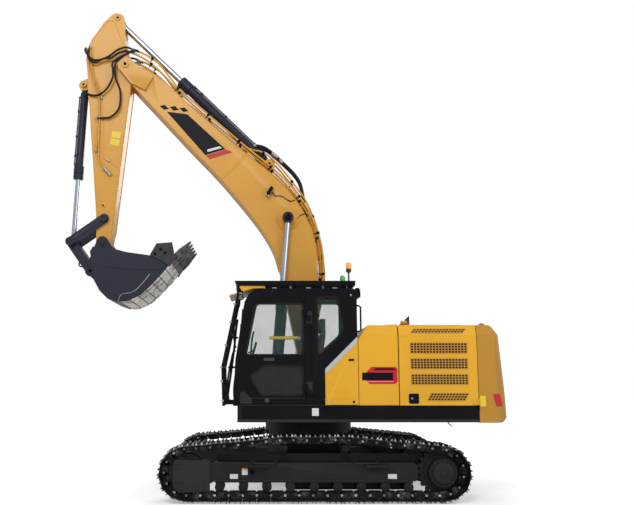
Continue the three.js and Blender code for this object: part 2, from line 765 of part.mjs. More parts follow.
function tank(front, rear, top) {
  const bevel = 50;
  const outline = [
    [tankInner, base], [panelOuter, base], [panelOuter, top - bevel], [panelOuter - bevel, top],
    [tankInner, top],
  ];
  return section(outline, front, rear);
}

const fuelTank = () => tank(TANK_FRONT + 4, TANK_SPLIT - 4, FUEL_TOP);
const hydraulicTank = () => tank(TANK_SPLIT + 4, PANEL_SPLIT - SHEET / 2 - SEAT, HYDRAULIC_TOP);

// A cabinet with two treads cut in its front corner.
function toolbox() {
  const rise = (TOOLBOX_TOP - base) / 3;
  const outline = [
    [TOOLBOX_FRONT, base], [TANK_FRONT - 4, base], [TANK_FRONT - 4, TOOLBOX_TOP],
    [TOOLBOX_FRONT + 420, TOOLBOX_TOP], [TOOLBOX_FRONT + 420, base + 2 * rise],
    [TOOLBOX_FRONT + 210, base + 2 * rise], [TOOLBOX_FRONT + 210, base + rise],
    [TOOLBOX_FRONT, base + rise],
  ];
  return slab(outline, tankInner + 120, panelOuter);
}

// A pipe with a slanting mouth on a flange.
function exhaust() {
  const at = [1800, 960];
  const low = HOUSE_TOP + SEAT;
  const top = low + EXHAUST_HEIGHT;
  const pipe = post(at, 62, low, top, 24);
  const bore = post(at, 54, low + 60, top + 10, 24);
  const mouth = slab([[at[0] - 80, top - 150], [at[0] + 80, top], [at[0] + 80, top + 70],
    [at[0] - 80, top + 70]], at[1] - 80, at[1] + 80);
  return cut(join(pipe, post(at, 90, low, low + 20, 24)), bore, mouth);
}

// ---------------------------------------------------------------- cab
const cabLeft = -DECK_HALF_WIDTH;
const cabHeelTop = 1842;
const cabRearKnee = 2341;
const cabKnee = [-1130, 2000];
const cabBrow = [-1000, 2850];
const glassMargin = 75;

const cabOutline = [
  [CAB_FRONT, base], [CAB_HEEL, base], [CAB_HEEL, cabHeelTop], [CAB_REAR, cabRearKnee],
  [CAB_REAR, CAB_ROOF - 40], [CAB_REAR - 50, CAB_ROOF], [-740, CAB_ROOF], [-850, CAB_ROOF - 18],
  [-940, CAB_ROOF - 90], cabBrow, cabKnee,
];
const DOOR_OUTLINE = [
  [-1098, base + 26], [-112, base + 26], [-104, CAB_ROOF - 50], [-770, CAB_ROOF - 50],
  [-860, CAB_ROOF - 110], [-925, CAB_ROOF - 230], [-1066, cabKnee[1]],
];
const UPPER_WINDOW = [
  [-980, 2080], [-150, 2080], [-144, CAB_ROOF - 222], [-800, CAB_ROOF - 222],
  [-850, CAB_ROOF - 260],
];
const LOWER_WINDOW = [
  [-760, 1500], [-150, 1500], [-148, 1912], [-706, 1929], [-917, 1773],
];
const QUARTER_WINDOW = [
  [67, 2086], [110, 2086], [369, 2332], [441, 2456], [360, CAB_ROOF - 132],
  [67, CAB_ROOF - 132],
];
const RIGHT_WINDOW = [
  [-1010, 2020], [20, 2020], [480, 2420], [480, CAB_ROOF - 130], [-830, CAB_ROOF - 130],
];
const REAR_WINDOW = { y: [cabLeft + 110, CAB_RIGHT - 110], z: [cabRearKnee + 60, CAB_ROOF - 150] };

const windscreenY = [cabLeft + glassMargin, CAB_RIGHT - glassMargin];
const windscreenZ = [base + 130, cabBrow[1] + 10];

function windscreenCut() {
  return box([-1300, -900], windscreenY, windscreenZ);
}

// A pane that follows the cab's front from its sill, past the knee, to the brow.
function windscreen() {
  const face = (depth) => {
    const line = inset(cabOutline, depth);
    return [line[0], ...line.slice(-3).reverse()];
  };
  const pane = slab([...face(PANE_DEPTH), ...face(PANE_DEPTH + GLASS).reverse()],
    windscreenY[0] + GLASS_GAP, windscreenY[1] - GLASS_GAP);
  const z = [windscreenZ[0] + GLASS_GAP, windscreenZ[1] - GLASS_GAP];
  return pane.intersect(box([-1300, -700], [cabLeft, 0], z));
}

function hingeKnuckles(x, y, low, high) {
  const leaf = box([x - 12, x + 64], [y - 6, cabLeft + 5], [low, high]);
  return join(post([x, y], HINGE_RADIUS, low, high, 12), leaf);
}

const doorHinge = [-92, cabLeft - 25];
const hingeHeights = [1500, 2570];
const knuckle = 80;

function cabShell() {
  const walls = (i) => (i === 0 ? CAB_FLOOR : CAB_WALL);
  const shell = cut(
    slab(cabOutline, cabLeft, CAB_RIGHT),
    slab(inset(cabOutline, walls), cabLeft + CAB_WALL, CAB_RIGHT - CAB_WALL),
  );
  const left = [cabLeft - 5, cabLeft + CAB_WALL + 5];
  const right = [CAB_RIGHT - CAB_WALL - 5, CAB_RIGHT + 5];
  const opened = cut(
    shell,
    slab(inset(DOOR_OUTLINE, -DOOR_GAP + 1), ...left),
    slab(QUARTER_WINDOW, ...left),
    slab(RIGHT_WINDOW, ...right),
    windscreenCut(),
    box([CAB_REAR - CAB_WALL - 10, CAB_REAR + 10], REAR_WINDOW.y, REAR_WINDOW.z),
  );
  const lip = box([CAB_REAR - 5, CAB_REAR + 45], [cabLeft + 40, CAB_RIGHT - 40],
    [CAB_ROOF - 130, CAB_ROOF + 12]);
  const knuckles = hingeHeights.map((z) => hingeKnuckles(doorHinge[0], doorHinge[1], z, z + knuckle));
  return join(opened, lip, ...knuckles);
}

function cabDoor() {
  const door = cut(
    slab(DOOR_OUTLINE, cabLeft, cabLeft + CAB_WALL),
    slab(UPPER_WINDOW, cabLeft - 5, cabLeft + CAB_WALL + 5),
    slab(LOWER_WINDOW, cabLeft - 5, cabLeft + CAB_WALL + 5),
  );
  const [x, y] = doorHinge;
  const knuckles = hingeHeights.map((z) => {
    const low = z + knuckle + PIN_PLAY;
    return join(
      post([x, y], HINGE_RADIUS, low, low + knuckle, 12),
      box([x - 70, x + 6], [y - 6, cabLeft - 1], [low, low + knuckle]),
      box([x - 70, x - 30], [cabLeft - 2, cabLeft + 5], [low, low + knuckle]),
    );
  });
  return join(door, ...knuckles);
}

// A pane in a cut window of a wall whose outer face is at y.
const paneIn = (outline, y, depth) =>
  slab(inset(outline, GLASS_GAP), y + depth, y + depth + GLASS);

function rearPane() {
  const { y, z } = REAR_WINDOW;
  const g = GLASS_GAP;
  return box([CAB_REAR - 18 - GLASS, CAB_REAR - 18], [y[0] + g, y[1] - g], [z[0] + g, z[1] - g]);
}

// Seat on its base, with a console each side.
function operatorStation() {
  const middle = (cabLeft + CAB_RIGHT) / 2;
  const floor = base + CAB_FLOOR + SEAT;
  const foundation = box([-420, 110], [middle - 230, middle + 230], [floor, floor + 300]);
  const cushion = slab([[-520, floor + 290], [60, floor + 290], [60, floor + 400],
    [-470, floor + 430], [-540, floor + 400]], middle - 255, middle + 255);
  const back = slab([[-60, floor + 380], [60, floor + 380], [190, floor + 960],
    [190, floor + 1230], [110, floor + 1230], [60, floor + 900]], middle - 230, middle + 230);
  const consoles = [1, -1].map((sign) => {
    const y = [middle + sign * 225, middle + sign * 375].sort((a, b) => a - b);
    const lever = middle + sign * 300;
    return join(
      slab([[-560, floor + 470], [-20, floor + 430], [-20, floor + 560], [-560, floor + 620]], ...y),
      box([-300, -60], [Math.min(lever - 60, lever + 60), lever + 60], [floor, floor + 480]),
      post([-500, lever], 24, floor + 600, floor + 800, 12, 32),
    );
  });
  const pedals = slab([[-900, floor], [-620, floor], [-640, floor + 60], [-860, floor + 190]],
    middle - 150, middle + 150);
  const link = box([-700, -400], [middle - 120, middle + 120], [floor, floor + 30]);
  return join(foundation, cushion, back, ...consoles, pedals, link);
}

// The grille before the windscreen and the bars over the roof, one welded frame.
const GUARD_TUBE = 34;
const guardFront = [[-1316, base - 1], [-1334, 1912], [-1123, 2918]];
const guardY = [cabLeft + 25, CAB_RIGHT - 25];
const trayZ = [3098, 3164];

function guardUpright(low, high) {
  const back = guardFront.map(([x, z]) => [x + GUARD_TUBE, z]).reverse();
  return slab([...guardFront, ...back], low, high);
}

function frontGuard() {
  const [left, right] = guardY;
  const bars = [];
  const count = 3;
  for (let i = 0; i <= count; i += 1) {
    const y = left + ((right - left - GUARD_TUBE) * i) / count;
    const width = i % count === 0 ? GUARD_TUBE : 12;
    bars.push(guardUpright(y, y + width));
  }
  const rails = [base + 20, 1900, 2400, 2880].map((z) => {
    const x = z < guardFront[1][1]
      ? guardFront[0][0] + ((guardFront[1][0] - guardFront[0][0]) * (z - base)) / (1912 - base)
      : guardFront[1][0] + ((guardFront[2][0] - guardFront[1][0]) * (z - 1912)) / (2918 - 1912);
    return box([x + 4, x + GUARD_TUBE - 4], [left + 5, right - 5], [z, z + 24]);
  });
  return join(...bars, ...rails);
}

// Feet that tie the grille to the cab's front below the windscreen.
function guardFeet() {
  const [left, right] = guardY;
  const x = [guardFront[0][0] + 20, CAB_FRONT - SEAT];
  return join(...[left, right - 40].map((y) => box(x, [y, y + 40], [base + 20, base + 60])));
}

function roofGuard() {
  const x = [-1142, 630];
  const y = [cabLeft + 5, CAB_RIGHT - 5];
  const rim = cut(
    box(x, y, trayZ),
    box([x[0] + 40, x[1] - 40], [y[0] + 40, y[1] - 40], [trayZ[0] - 5, trayZ[1] + 5]),
    slab([[x[0] - 1, trayZ[0] - 1], [x[0] + 46, trayZ[0] - 1], [x[0] - 1, trayZ[1] - 12]],
      y[0] - 1, y[1] + 1),
  );
  const slats = [];
  const count = 6;
  for (let i = 1; i < count; i += 1) {
    const at = y[0] + ((y[1] - y[0]) * i) / count;
    slats.push(box([x[0] + 30, x[1] - 30], [at - 8, at + 8], [trayZ[1] - 50, trayZ[1] - 8]));
  }
  const feet = [-640, 540].flatMap((at) => [y[0] + 40, y[1] - 90].map((side) =>
    box([at - 25, at + 25], [side, side + 50], [CAB_ROOF + SEAT, trayZ[0] + 20])));
  const cross = [-640, 540].map((at) =>
    box([at - 25, at + 25], [y[0] + 20, y[1] - 20], [trayZ[0] + 4, trayZ[0] + 40]));
  return join(rim, ...slats, ...feet, ...cross);
}

// Struts tie the top of the front grille to the roof bars.
function guardStruts() {
  const [left, right] = guardY;
  const outline = [[-1120, 2880], [-1090, 2870], [-1068, trayZ[0] + 20], [-1104, trayZ[0] + 20]];
  return join(...[left, right - 20].map((y) => slab(outline, y, y + 20)));
}

const cabGuard = () => join(frontGuard(), guardFeet(), roofGuard(), guardStruts());

// A tube bent three times through right angles, its two feet on the cab's rear.
function handrail() {
  const y = cabLeft + 60;
  const z = [2420, 2800];
  const reach = 60;
  const start = CAB_REAR + SEAT;
  const path = new THREE.CurvePath();
  const at = (x, h) => new THREE.Vector3(x, y, h);
  const bend = 25;
  path.add(new THREE.LineCurve3(at(start, z[0]), at(start + reach - bend, z[0])));
  path.add(new THREE.QuadraticBezierCurve3(at(start + reach - bend, z[0]),
    at(start + reach, z[0]), at(start + reach, z[0] + bend)));
  path.add(new THREE.LineCurve3(at(start + reach, z[0] + bend), at(start + reach, z[1] - bend)));
  path.add(new THREE.QuadraticBezierCurve3(at(start + reach, z[1] - bend),
    at(start + reach, z[1]), at(start + reach - bend, z[1])));
  path.add(new THREE.LineCurve3(at(start + reach - bend, z[1]), at(start, z[1])));
  return solid(new THREE.ExtrudeGeometry(circle(13, 8), { steps: 14, extrudePath: path }));
}

function circle(radius, sides) {
  const points = arc([0, 0], radius, 0, 360 - 360 / sides, sides - 1);
  return new THREE.Shape(points.map(([x, y]) => new THREE.Vector2(x, y)));
}

// ---------------------------------------------------------------- cylinders
function barrel(cylinder) {
  const { barrel: radius, rod, head, eyeHalf, closed, eyeRadius } = cylinder;
  const gland = closed - eyeRadius - 30;
  return cut(
    join(
      disc([0, 0], eyeRadius, -eyeHalf, eyeHalf),
      bar(eyeRadius - 40, eyeRadius + 30, eyeHalf),
      bar(eyeRadius + 18, gland - 100, radius),
      bar(gland - 230, gland, head),
    ),
    disc([0, 0], CYLINDER_PIN + PIN_PLAY, -eyeHalf - 5, eyeHalf + 5),
    bar(eyeRadius + 40, gland + 5, rod + PIN_PLAY),
  );
}

function rod(cylinder, length) {
  const { rod: radius, eyeHalf, closed, eyeRadius } = cylinder;
  const inside = closed - eyeRadius - 50; // from the eye back to the rod's inner end
  return join(
    bar(length - inside, length - 30, radius),
    disc([-length, 0], eyeRadius, -eyeHalf, eyeHalf),
  );
}

function moved(shape, y) {
  return shape.translate([0, y, 0]);
}

// ---------------------------------------------------------------- boom
const boomNose = [-BOOM_LENGTH, 0];

// The bent beam; its points are shares of the boom's length, but for those of the nose.
function boomOutline() {
  const along = (points) => points.map(([share, v]) => [share * BOOM_LENGTH, v]);
  const upper = smooth([
    [BOOM_LENGTH - 60, 120], [BOOM_LENGTH - 305, 300], [BOOM_LENGTH - 754, 470],
    ...along([[0.8339, 522], [0.7117, 745], [0.5995, 965], [0.4936, 1180], [0.4069, 1262],
      [0.3362, 1235], [0.2724, 1130], [0.1933, 872]]),
  ], 26);
  const lower = smooth([
    ...along([[0.2732, 443], [0.3362, 524], [0.4249, 512], [0.572, 384], [0.7068, 211],
      [0.8339, 55]]),
    [BOOM_LENGTH - 300, -85], [BOOM_LENGTH - 60, -115],
  ], 20);
  const foot = arc([0, 0], 150, 110, 250, 8);
  return ahead([...upper, ...foot, ...lower, [BOOM_LENGTH + 40, -105]]);
}

function boomEar(sign) {
  const outline = [
    ...arc(boomNose, NOSE_RADIUS, 90, 270, 10),
    ...ahead([[BOOM_LENGTH - 330, -85], [BOOM_LENGTH - 560, 60], [BOOM_LENGTH - 430, 300],
      [BOOM_LENGTH - 250, 230]]),
  ];
  return sideSlab(outline, sign, FORK_HALF_GAP, FORK_HALF_GAP + EAR_WIDTH);
}

function armCylinderLug(sign) {
  const [x, z] = ARM_CYLINDER_FOOT;
  const gap = ARM_CYLINDER.eyeHalf + SIDE_PLAY;
  const outline = [[x - 70, z - 260], [x + 230, z - 160], ...arc([x, z], 95, -10, 170, 8)];
  return sideSlab(outline, sign, gap, gap + 40);
}

// The ring on the boom's side that backs each boom cylinder's rod eye.
const eyeBossWidth = BOOM_CYLINDER_Y - BOOM_CYLINDER.eyeHalf - SIDE_PLAY;

function boom() {
  const beam = cut(
    slab(boomOutline(), -BOOM_HALF_WIDTH, BOOM_HALF_WIDTH),
    disc(boomNose, FORK_DEPTH, -FORK_HALF_GAP, FORK_HALF_GAP, 36),
    disc([0, 0], FOOT_PIN + PIN_PLAY, -BOOM_HALF_WIDTH - 5, BOOM_HALF_WIDTH + 5),
  );
  const earOuter = FORK_HALF_GAP + EAR_WIDTH;
  return join(
    beam,
    mirrored(boomEar),
    disc(boomNose, NOSE_PIN, -earOuter - 12, earOuter + 12),
    mirrored(armCylinderLug),
    disc(ARM_CYLINDER_FOOT, CYLINDER_PIN, -130, 130),
    mirrored((sign) => sideDisc(BOOM_CYLINDER_EYE, 180, sign, BOOM_HALF_WIDTH - 5,
      BOOM_HALF_WIDTH + 12)),
    mirrored((sign) => sideDisc(BOOM_CYLINDER_EYE, 105, sign, BOOM_HALF_WIDTH - 5, eyeBossWidth)),
  );
}

// ---------------------------------------------------------------- arm
const tipRadius = 118;

function armOutline() {
  return [
    [930, 210], [900, 160], [760, 118], [403, 60], [0, -110], [-310, -122], [-2900, -124],
    ...arc([-ARM_LENGTH, 0], tipRadius, 250, 110, 8),
    [-2700, 150], [-2390, 205], [-1688, 340], [-1167, 445], [-771, 517], [-520, 584],
    [-300, 612], [60, 692], [250, 694], [400, 650], [755, 470], [900, 350], [935, 290],
  ];
}

function armHeadLug(sign) {
  const [x, z] = BUCKET_CYLINDER_FOOT;
  const gap = BUCKET_CYLINDER.eyeHalf + SIDE_PLAY;
  const outline = [[x - 50, z - 150], [x + 170, z - 120], ...arc([x, z], 88, 20, 200, 8)];
  return sideSlab(outline, sign, gap, gap + 36);
}

function arm() {
  const [tx, tz] = ARM_CYLINDER_EYE;
  const slot = ARM_CYLINDER.eyeHalf + SIDE_PLAY;
  const headSlot = BUCKET_CYLINDER.eyeHalf + SIDE_PLAY;
  const tip = [-ARM_LENGTH, 0];
  const body = cut(
    slab(armOutline(), -ARM_HALF_WIDTH, ARM_HALF_WIDTH),
    slab([[tx - 370, tz + 500], [tx - 310, tz - 300], [tx + 300, tz - 300], [tx + 300, tz + 500]],
      -slot, slot),
    disc(BUCKET_CYLINDER_FOOT, BUCKET_CYLINDER.eyeRadius + 14, -headSlot, headSlot, 24),
  );
  const earReach = FORK_HALF_GAP - SIDE_PLAY;
  const bored = cut(
    join(body, disc([0, 0], 150, -earReach, earReach)),
    disc([0, 0], NOSE_PIN + PIN_PLAY, -earReach - 5, earReach + 5),
    disc(ROCKER_PIVOT, TIP_PIN + PIN_PLAY, -ARM_HALF_WIDTH - 5, ARM_HALF_WIDTH + 5),
    disc(tip, TIP_PIN + PIN_PLAY, -ARM_HALF_WIDTH - 5, ARM_HALF_WIDTH + 5),
  );
  return join(
    bored,
    mirrored(armHeadLug),
    disc(BUCKET_CYLINDER_FOOT, CYLINDER_PIN, -110, 110),
  );
}

// ---------------------------------------------------------------- bucket linkage
const rockerInner = ARM_HALF_WIDTH + SIDE_PLAY;
const rockerOuter = rockerInner + ROCKER_BAR;
const rockerEnd = [-ROCKER_LENGTH, 0];
const linkEnd = [-LINK_LENGTH, 0];
const linkHalfWidth = ARM_HALF_WIDTH - 5;
const forkGap = BUCKET_CYLINDER.eyeHalf + SIDE_PLAY;

// Two bars either side of the arm, held by the pin through it, each with a stub at its free end.
function rocker() {
  const outline = strapOutline([0, 0], rockerEnd, 78, 74);
  return join(
    mirrored((sign) => sideSlab(outline, sign, rockerInner, rockerOuter)),
    disc([0, 0], TIP_PIN, -rockerOuter - 8, rockerOuter + 8),
    mirrored((sign) => sideDisc(rockerEnd, TIP_PIN, sign, forkGap + SIDE_PLAY, rockerOuter + 8)),
  );
}

// An H-shaped link: two prongs beside the rod's eye, one block between the bucket's ears.
function bucketLink() {
  const outline = strapOutline([0, 0], linkEnd, 76, 80);
  const eye = disc([0, 0], TIP_PIN + PIN_PLAY, -linkHalfWidth - 5, linkHalfWidth + 5);
  const slot = slab([[200, -200], [200, 200], [-330, 200], [-330, -200]], -forkGap, forkGap);
  return cut(slab(outline, -linkHalfWidth, linkHalfWidth), eye, slot);
}

// ---------------------------------------------------------------- bucket
const lipEnd = [1236, 262];

const mouthLine = [[319, 181], [473, 216], [853, 252], [1120, 200], lipEnd];
const shellLine = [
  [1140, 426], [1005, 600], [880, 750], [740, 890], [560, 985], [379, 1012], [230, 968],
  [95, 845], [0, 690], [-52, 420], [-100, 235],
];
const backLine = [[-60, 150], [140, 175]];
const bucketOutline = [...mouthLine, ...shellLine, ...backLine];

function bucketShell() {
  const wall = (i) => {
    const shellStart = mouthLine.length - 1;
    const shellStop = mouthLine.length + shellLine.length + backLine.length - 1;
    return i >= shellStart && i < shellStop ? BUCKET_PLATE : -120;
  };
  const inner = inset(bucketOutline, wall);
  const w = BUCKET_HALF_WIDTH;
  return cut(
    slab(ahead(bucketOutline), -w, w),
    slab(ahead(inner), -w + BUCKET_PLATE, w - BUCKET_PLATE),
  );
}

function bucketEar(sign) {
  const inner = rockerInner;
  const pin = BUCKET_LINK_PIN;
  const outline = [
    ...arc([0, 0], 92, -150, -20, 6), ...arc(pin, 88, -20, 100, 6), ...ahead([[60, 760]]),
    ...ahead([[160, 560], [300, 240]]),
  ];
  return cut(
    sideSlab(outline, sign, inner, inner + BUCKET_EAR),
    slab(ahead([[160, 300], [700, 300], [700, 900], [30, 900], [30, 700]]), -400, 400),
  );
}

function bucket() {
  const reach = rockerInner + BUCKET_EAR + 10;
  return join(
    bucketShell(),
    mirrored(bucketEar),
    disc([0, 0], TIP_PIN, -reach, reach),
  );
}

// The lip, its teeth and the plates that guard the side walls' front corners: one weldment,
// trimmed to fit round the shell's front edge.
const LIP_SLOPE = -48;
const CHEEK = 25;
const TOOTH_WIDTH = 84;
const TOOTH_REACH = 390;

function cuttingEdge() {
  const w = BUCKET_HALF_WIDTH;
  const along = [Math.cos(radians(LIP_SLOPE)), Math.sin(radians(LIP_SLOPE))];
  const start = [lipEnd[0] - 14, lipEnd[1] + 23];
  const at = (a, b) => [
    start[0] + along[0] * a - along[1] * b,
    start[1] + along[1] * a + along[0] * b,
  ];
  const lip = slab(
    ahead([at(-10, -34), at(60, -34), at(95, -8), at(60, 28), at(-70, 40), at(-70, -34)]),
    -w - CHEEK, w + CHEEK,
  );
  const tooth = ahead([at(20, -42), at(170, -46), at(TOOTH_REACH, -8), at(TOOTH_REACH, 6),
    at(150, 46), at(20, 48)]);
  const teeth = [];
  for (let i = 0; i < TOOTH_COUNT; i += 1) {
    const margin = CHEEK + TOOTH_WIDTH / 2;
    const y = -w + margin + (2 * (w - margin) * i) / (TOOTH_COUNT - 1);
    teeth.push(slab(tooth, y - TOOTH_WIDTH / 2, y + TOOTH_WIDTH / 2));
  }
  const cutter = ahead([[856, 246], [949, 61], [1196, 30], at(60, -30), at(50, 28),
    [1180, 420], [1040, 330]]);
  const cheeks = mirrored((sign) => sideSlab(cutter, sign, w - 5, w + CHEEK));
  const shell = slab(ahead(inset(bucketOutline, -SEAT)), -w - SEAT, w + SEAT);
  return cut(join(lip, ...teeth, cheeks), shell);
}

// ---------------------------------------------------------------- assembly
const excavator = new THREE.Group();
const machine = new THREE.Group();
excavator.add(machine);

addMesh(machine, 'carbody', carbody(), BLACK);
for (const [side, sign] of [['left', -1], ['right', 1]]) {
  addMesh(machine, `track_frame_${side}`, trackFrame(sign), BLACK);
  addMesh(machine, `track_${side}`, track(sign), STEEL);
  addMesh(machine, `sprocket_${side}`, sprocket(sign), BLACK);
}

addMesh(machine, 'deck', deck(), BLACK);
addMesh(machine, 'counterweight', counterweight(), YELLOW);
addMesh(machine, 'engine_block', engineBlock(), CAST_IRON);
addMesh(machine, 'house_frame', houseFrame(), YELLOW);
addMesh(machine, 'side_panel', sidePanel(), YELLOW);
addMesh(machine, 'fuel_tank', fuelTank(), YELLOW);
addMesh(machine, 'hydraulic_tank', hydraulicTank(), YELLOW);
addMesh(machine, 'toolbox', toolbox(), YELLOW);
addMesh(machine, 'exhaust_pipe', exhaust(), CAST_IRON);
addMesh(machine, 'front_door', frontDoor(), YELLOW);
addMesh(machine, 'radiator_door', sideDoor(-1, radiatorHinge), YELLOW);
addMesh(machine, 'pump_door', sideDoor(1, pumpHinge), YELLOW);
addMesh(machine, 'bonnet', bonnet(), YELLOW);

addMesh(machine, 'cab_shell', cabShell(), BLACK);
addMesh(machine, 'windscreen', windscreen(), TINTED);
addMesh(machine, 'glass_quarter', paneIn(QUARTER_WINDOW, cabLeft, 18), TINTED);
addMesh(machine, 'glass_right', paneIn(RIGHT_WINDOW, CAB_RIGHT, -18 - GLASS), TINTED);
addMesh(machine, 'glass_rear', rearPane(), TINTED);
addMesh(machine, 'cab_door', cabDoor(), BLACK);
addMesh(machine, 'door_glass_upper', paneIn(UPPER_WINDOW, cabLeft, 18), TINTED);
addMesh(machine, 'door_glass_lower', paneIn(LOWER_WINDOW, cabLeft, 18), TINTED);
addMesh(machine, 'operator_station', operatorStation(), CAST_IRON);
addMesh(machine, 'cab_guard', cabGuard(), BLACK);
addMesh(machine, 'handrail', handrail(), STEEL);

const boomFrame = frameAt(machine, BOOM_FOOT, BOOM_ELEVATION);
addMesh(boomFrame, 'boom', boom(), BOOM_YELLOW);

const boomEye = place(BOOM_CYLINDER_EYE, BOOM_FOOT, BOOM_ELEVATION);
const boomCylinderFrame = frameAt(machine, BOOM_CYLINDER_FOOT,
  elevationOf(BOOM_CYLINDER_FOOT, boomEye));
for (const [side, sign] of [['left', -1], ['right', 1]]) {
  const y = sign * BOOM_CYLINDER_Y;
  const length = distance(BOOM_CYLINDER_FOOT, boomEye);
  addMesh(boomCylinderFrame, `boom_barrel_${side}`, moved(barrel(BOOM_CYLINDER), y), NAVY);
  addMesh(boomCylinderFrame, `boom_rod_${side}`, moved(rod(BOOM_CYLINDER, length), y), CHROME);
}

const armTurn = ARM_ELEVATION - BOOM_ELEVATION;
const armFrame = frameAt(boomFrame, boomNose, armTurn);
addMesh(armFrame, 'arm', arm(), BOOM_YELLOW);

const armEye = place(ARM_CYLINDER_EYE, boomNose, armTurn);
const armCylinderFrame = frameAt(boomFrame, ARM_CYLINDER_FOOT,
  elevationOf(ARM_CYLINDER_FOOT, armEye));
addMesh(armCylinderFrame, 'arm_barrel', barrel(ARM_CYLINDER), NAVY);
addMesh(armCylinderFrame, 'arm_rod', rod(ARM_CYLINDER, distance(ARM_CYLINDER_FOOT, armEye)), CHROME);

const rockerFrame = frameAt(armFrame, ROCKER_PIVOT, ROCKER_ELEVATION - ARM_ELEVATION);
addMesh(rockerFrame, 'rocker', rocker(), NAVY);

const linkFrame = frameAt(rockerFrame, rockerEnd, LINK_ELEVATION - ROCKER_ELEVATION);
addMesh(linkFrame, 'bucket_link', bucketLink(), NAVY);

const bucketEye = place(rockerEnd, ROCKER_PIVOT, ROCKER_ELEVATION - ARM_ELEVATION);
const bucketCylinderFrame = frameAt(armFrame, BUCKET_CYLINDER_FOOT,
  elevationOf(BUCKET_CYLINDER_FOOT, bucketEye));
addMesh(bucketCylinderFrame, 'bucket_barrel', barrel(BUCKET_CYLINDER), NAVY);
addMesh(bucketCylinderFrame, 'bucket_rod',
  rod(BUCKET_CYLINDER, distance(BUCKET_CYLINDER_FOOT, bucketEye)), CHROME);

const bucketFrame = frameAt(armFrame, [-ARM_LENGTH, 0], BUCKET_ELEVATION - ARM_ELEVATION);
addMesh(bucketFrame, 'bucket', bucket(), NAVY);
addMesh(bucketFrame, 'cutting_edge', cuttingEdge(), STEEL);

excavator.updateMatrixWorld(true);
const bounds = new THREE.Box3().setFromObject(excavator, true);
machine.position.x = -(bounds.min.x + bounds.max.x) / 2;
excavator.updateMatrixWorld(true);

export default excavator;
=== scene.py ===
# %% [markdown]
# # A crawler excavator, dressed for a close look
#
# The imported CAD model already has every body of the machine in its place: undercarriage, slewing
# upper body, cab, boom, arm, bucket and the hydraulic cylinders. This lesson loads it as a fixed
# frame and builds the surfaces that an eye expects round it: rolled edges, cast teeth, louvres,
# hoses, seat cushions, lamps and worn paint.

import json
import math

import bmesh
import bpy
import numpy as np
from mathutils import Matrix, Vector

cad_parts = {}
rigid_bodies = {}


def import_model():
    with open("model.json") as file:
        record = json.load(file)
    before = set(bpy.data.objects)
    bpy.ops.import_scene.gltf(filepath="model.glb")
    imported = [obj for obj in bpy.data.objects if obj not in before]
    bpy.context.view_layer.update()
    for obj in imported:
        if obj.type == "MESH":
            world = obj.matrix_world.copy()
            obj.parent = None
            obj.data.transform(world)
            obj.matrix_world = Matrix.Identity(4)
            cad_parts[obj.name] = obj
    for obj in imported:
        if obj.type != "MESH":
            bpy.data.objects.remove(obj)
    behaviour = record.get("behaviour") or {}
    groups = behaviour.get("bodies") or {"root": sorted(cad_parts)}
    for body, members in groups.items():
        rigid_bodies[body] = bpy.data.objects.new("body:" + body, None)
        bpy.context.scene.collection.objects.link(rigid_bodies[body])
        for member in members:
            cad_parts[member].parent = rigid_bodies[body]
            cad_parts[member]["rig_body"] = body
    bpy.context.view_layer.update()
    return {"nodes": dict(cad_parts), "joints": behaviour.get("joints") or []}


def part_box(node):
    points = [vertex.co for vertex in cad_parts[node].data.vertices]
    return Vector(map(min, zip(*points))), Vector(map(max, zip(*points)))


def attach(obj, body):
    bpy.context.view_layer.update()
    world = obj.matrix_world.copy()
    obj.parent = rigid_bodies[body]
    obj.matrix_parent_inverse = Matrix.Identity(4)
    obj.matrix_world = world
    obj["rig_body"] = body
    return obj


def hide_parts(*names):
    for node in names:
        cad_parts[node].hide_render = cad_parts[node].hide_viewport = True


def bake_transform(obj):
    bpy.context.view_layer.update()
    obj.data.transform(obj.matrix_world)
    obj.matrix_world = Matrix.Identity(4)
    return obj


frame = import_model()

# %% [markdown]
# ## Places
#
# An excavator is easiest to describe from its slewing axis: millimetres ahead of it or behind it,
# to the side, and above the ground. The boom, arm and bucket each have a frame of their own, with
# the pivot pin as origin, so a pipe on the boom keeps its numbers whatever the boom's angle. A
# Member turns such numbers into metres in the frame of the whole machine.


# %% Frames of the machine and its members
MM = 0.001
SLEW_X = next(j["pos_m"][0] for j in frame["joints"] if j["name"] == "swing")


class Member:
    """A frame whose points are [ahead, side, up] millimetres from a pivot, tilted up by an angle.

    A point lies at pivot + ahead * (-cos, sin) + up * (sin, cos) of the angle, in X and Z, and its
    side is Y as it is.
    """

    def __init__(self, pivot, elevation):
        self.pivot = np.array([pivot[0] * MM + SLEW_X, 0.0, pivot[1] * MM])
        c, s = math.cos(math.radians(elevation)), math.sin(math.radians(elevation))
        self.axes = np.array([[-c, 0, s], [0, 1, 0], [s, 0, c]]) * MM

    def to(self, points):
        """The same points in metres, in the frame of the whole scene."""
        return np.asarray(points, float) @ self.axes + self.pivot


class Machine:
    """The whole machine's frame: points are [x, y, z] millimetres from the slewing axis."""

    def to(self, points):
        """Millimetres to metres, moved to where the slewing axis stands."""
        return np.asarray(points, float) * MM + np.array([SLEW_X, 0.0, 0.0])


MACHINE = Machine()
BOOM_LENGTH, ARM_LENGTH = 5948, 3056
BOOM = Member((0, 1900), 59.15)
nose = BOOM.to([BOOM_LENGTH, 0, 0])
ARM = Member(((nose[0] - SLEW_X) / MM, nose[2] / MM), -84.27)
tip = ARM.to([ARM_LENGTH, 0, 0])
BUCKET = Member(((tip[0] - SLEW_X) / MM, tip[2] / MM), -177.4)
print("boom nose", nose.round(3), "arm tip", tip.round(3))

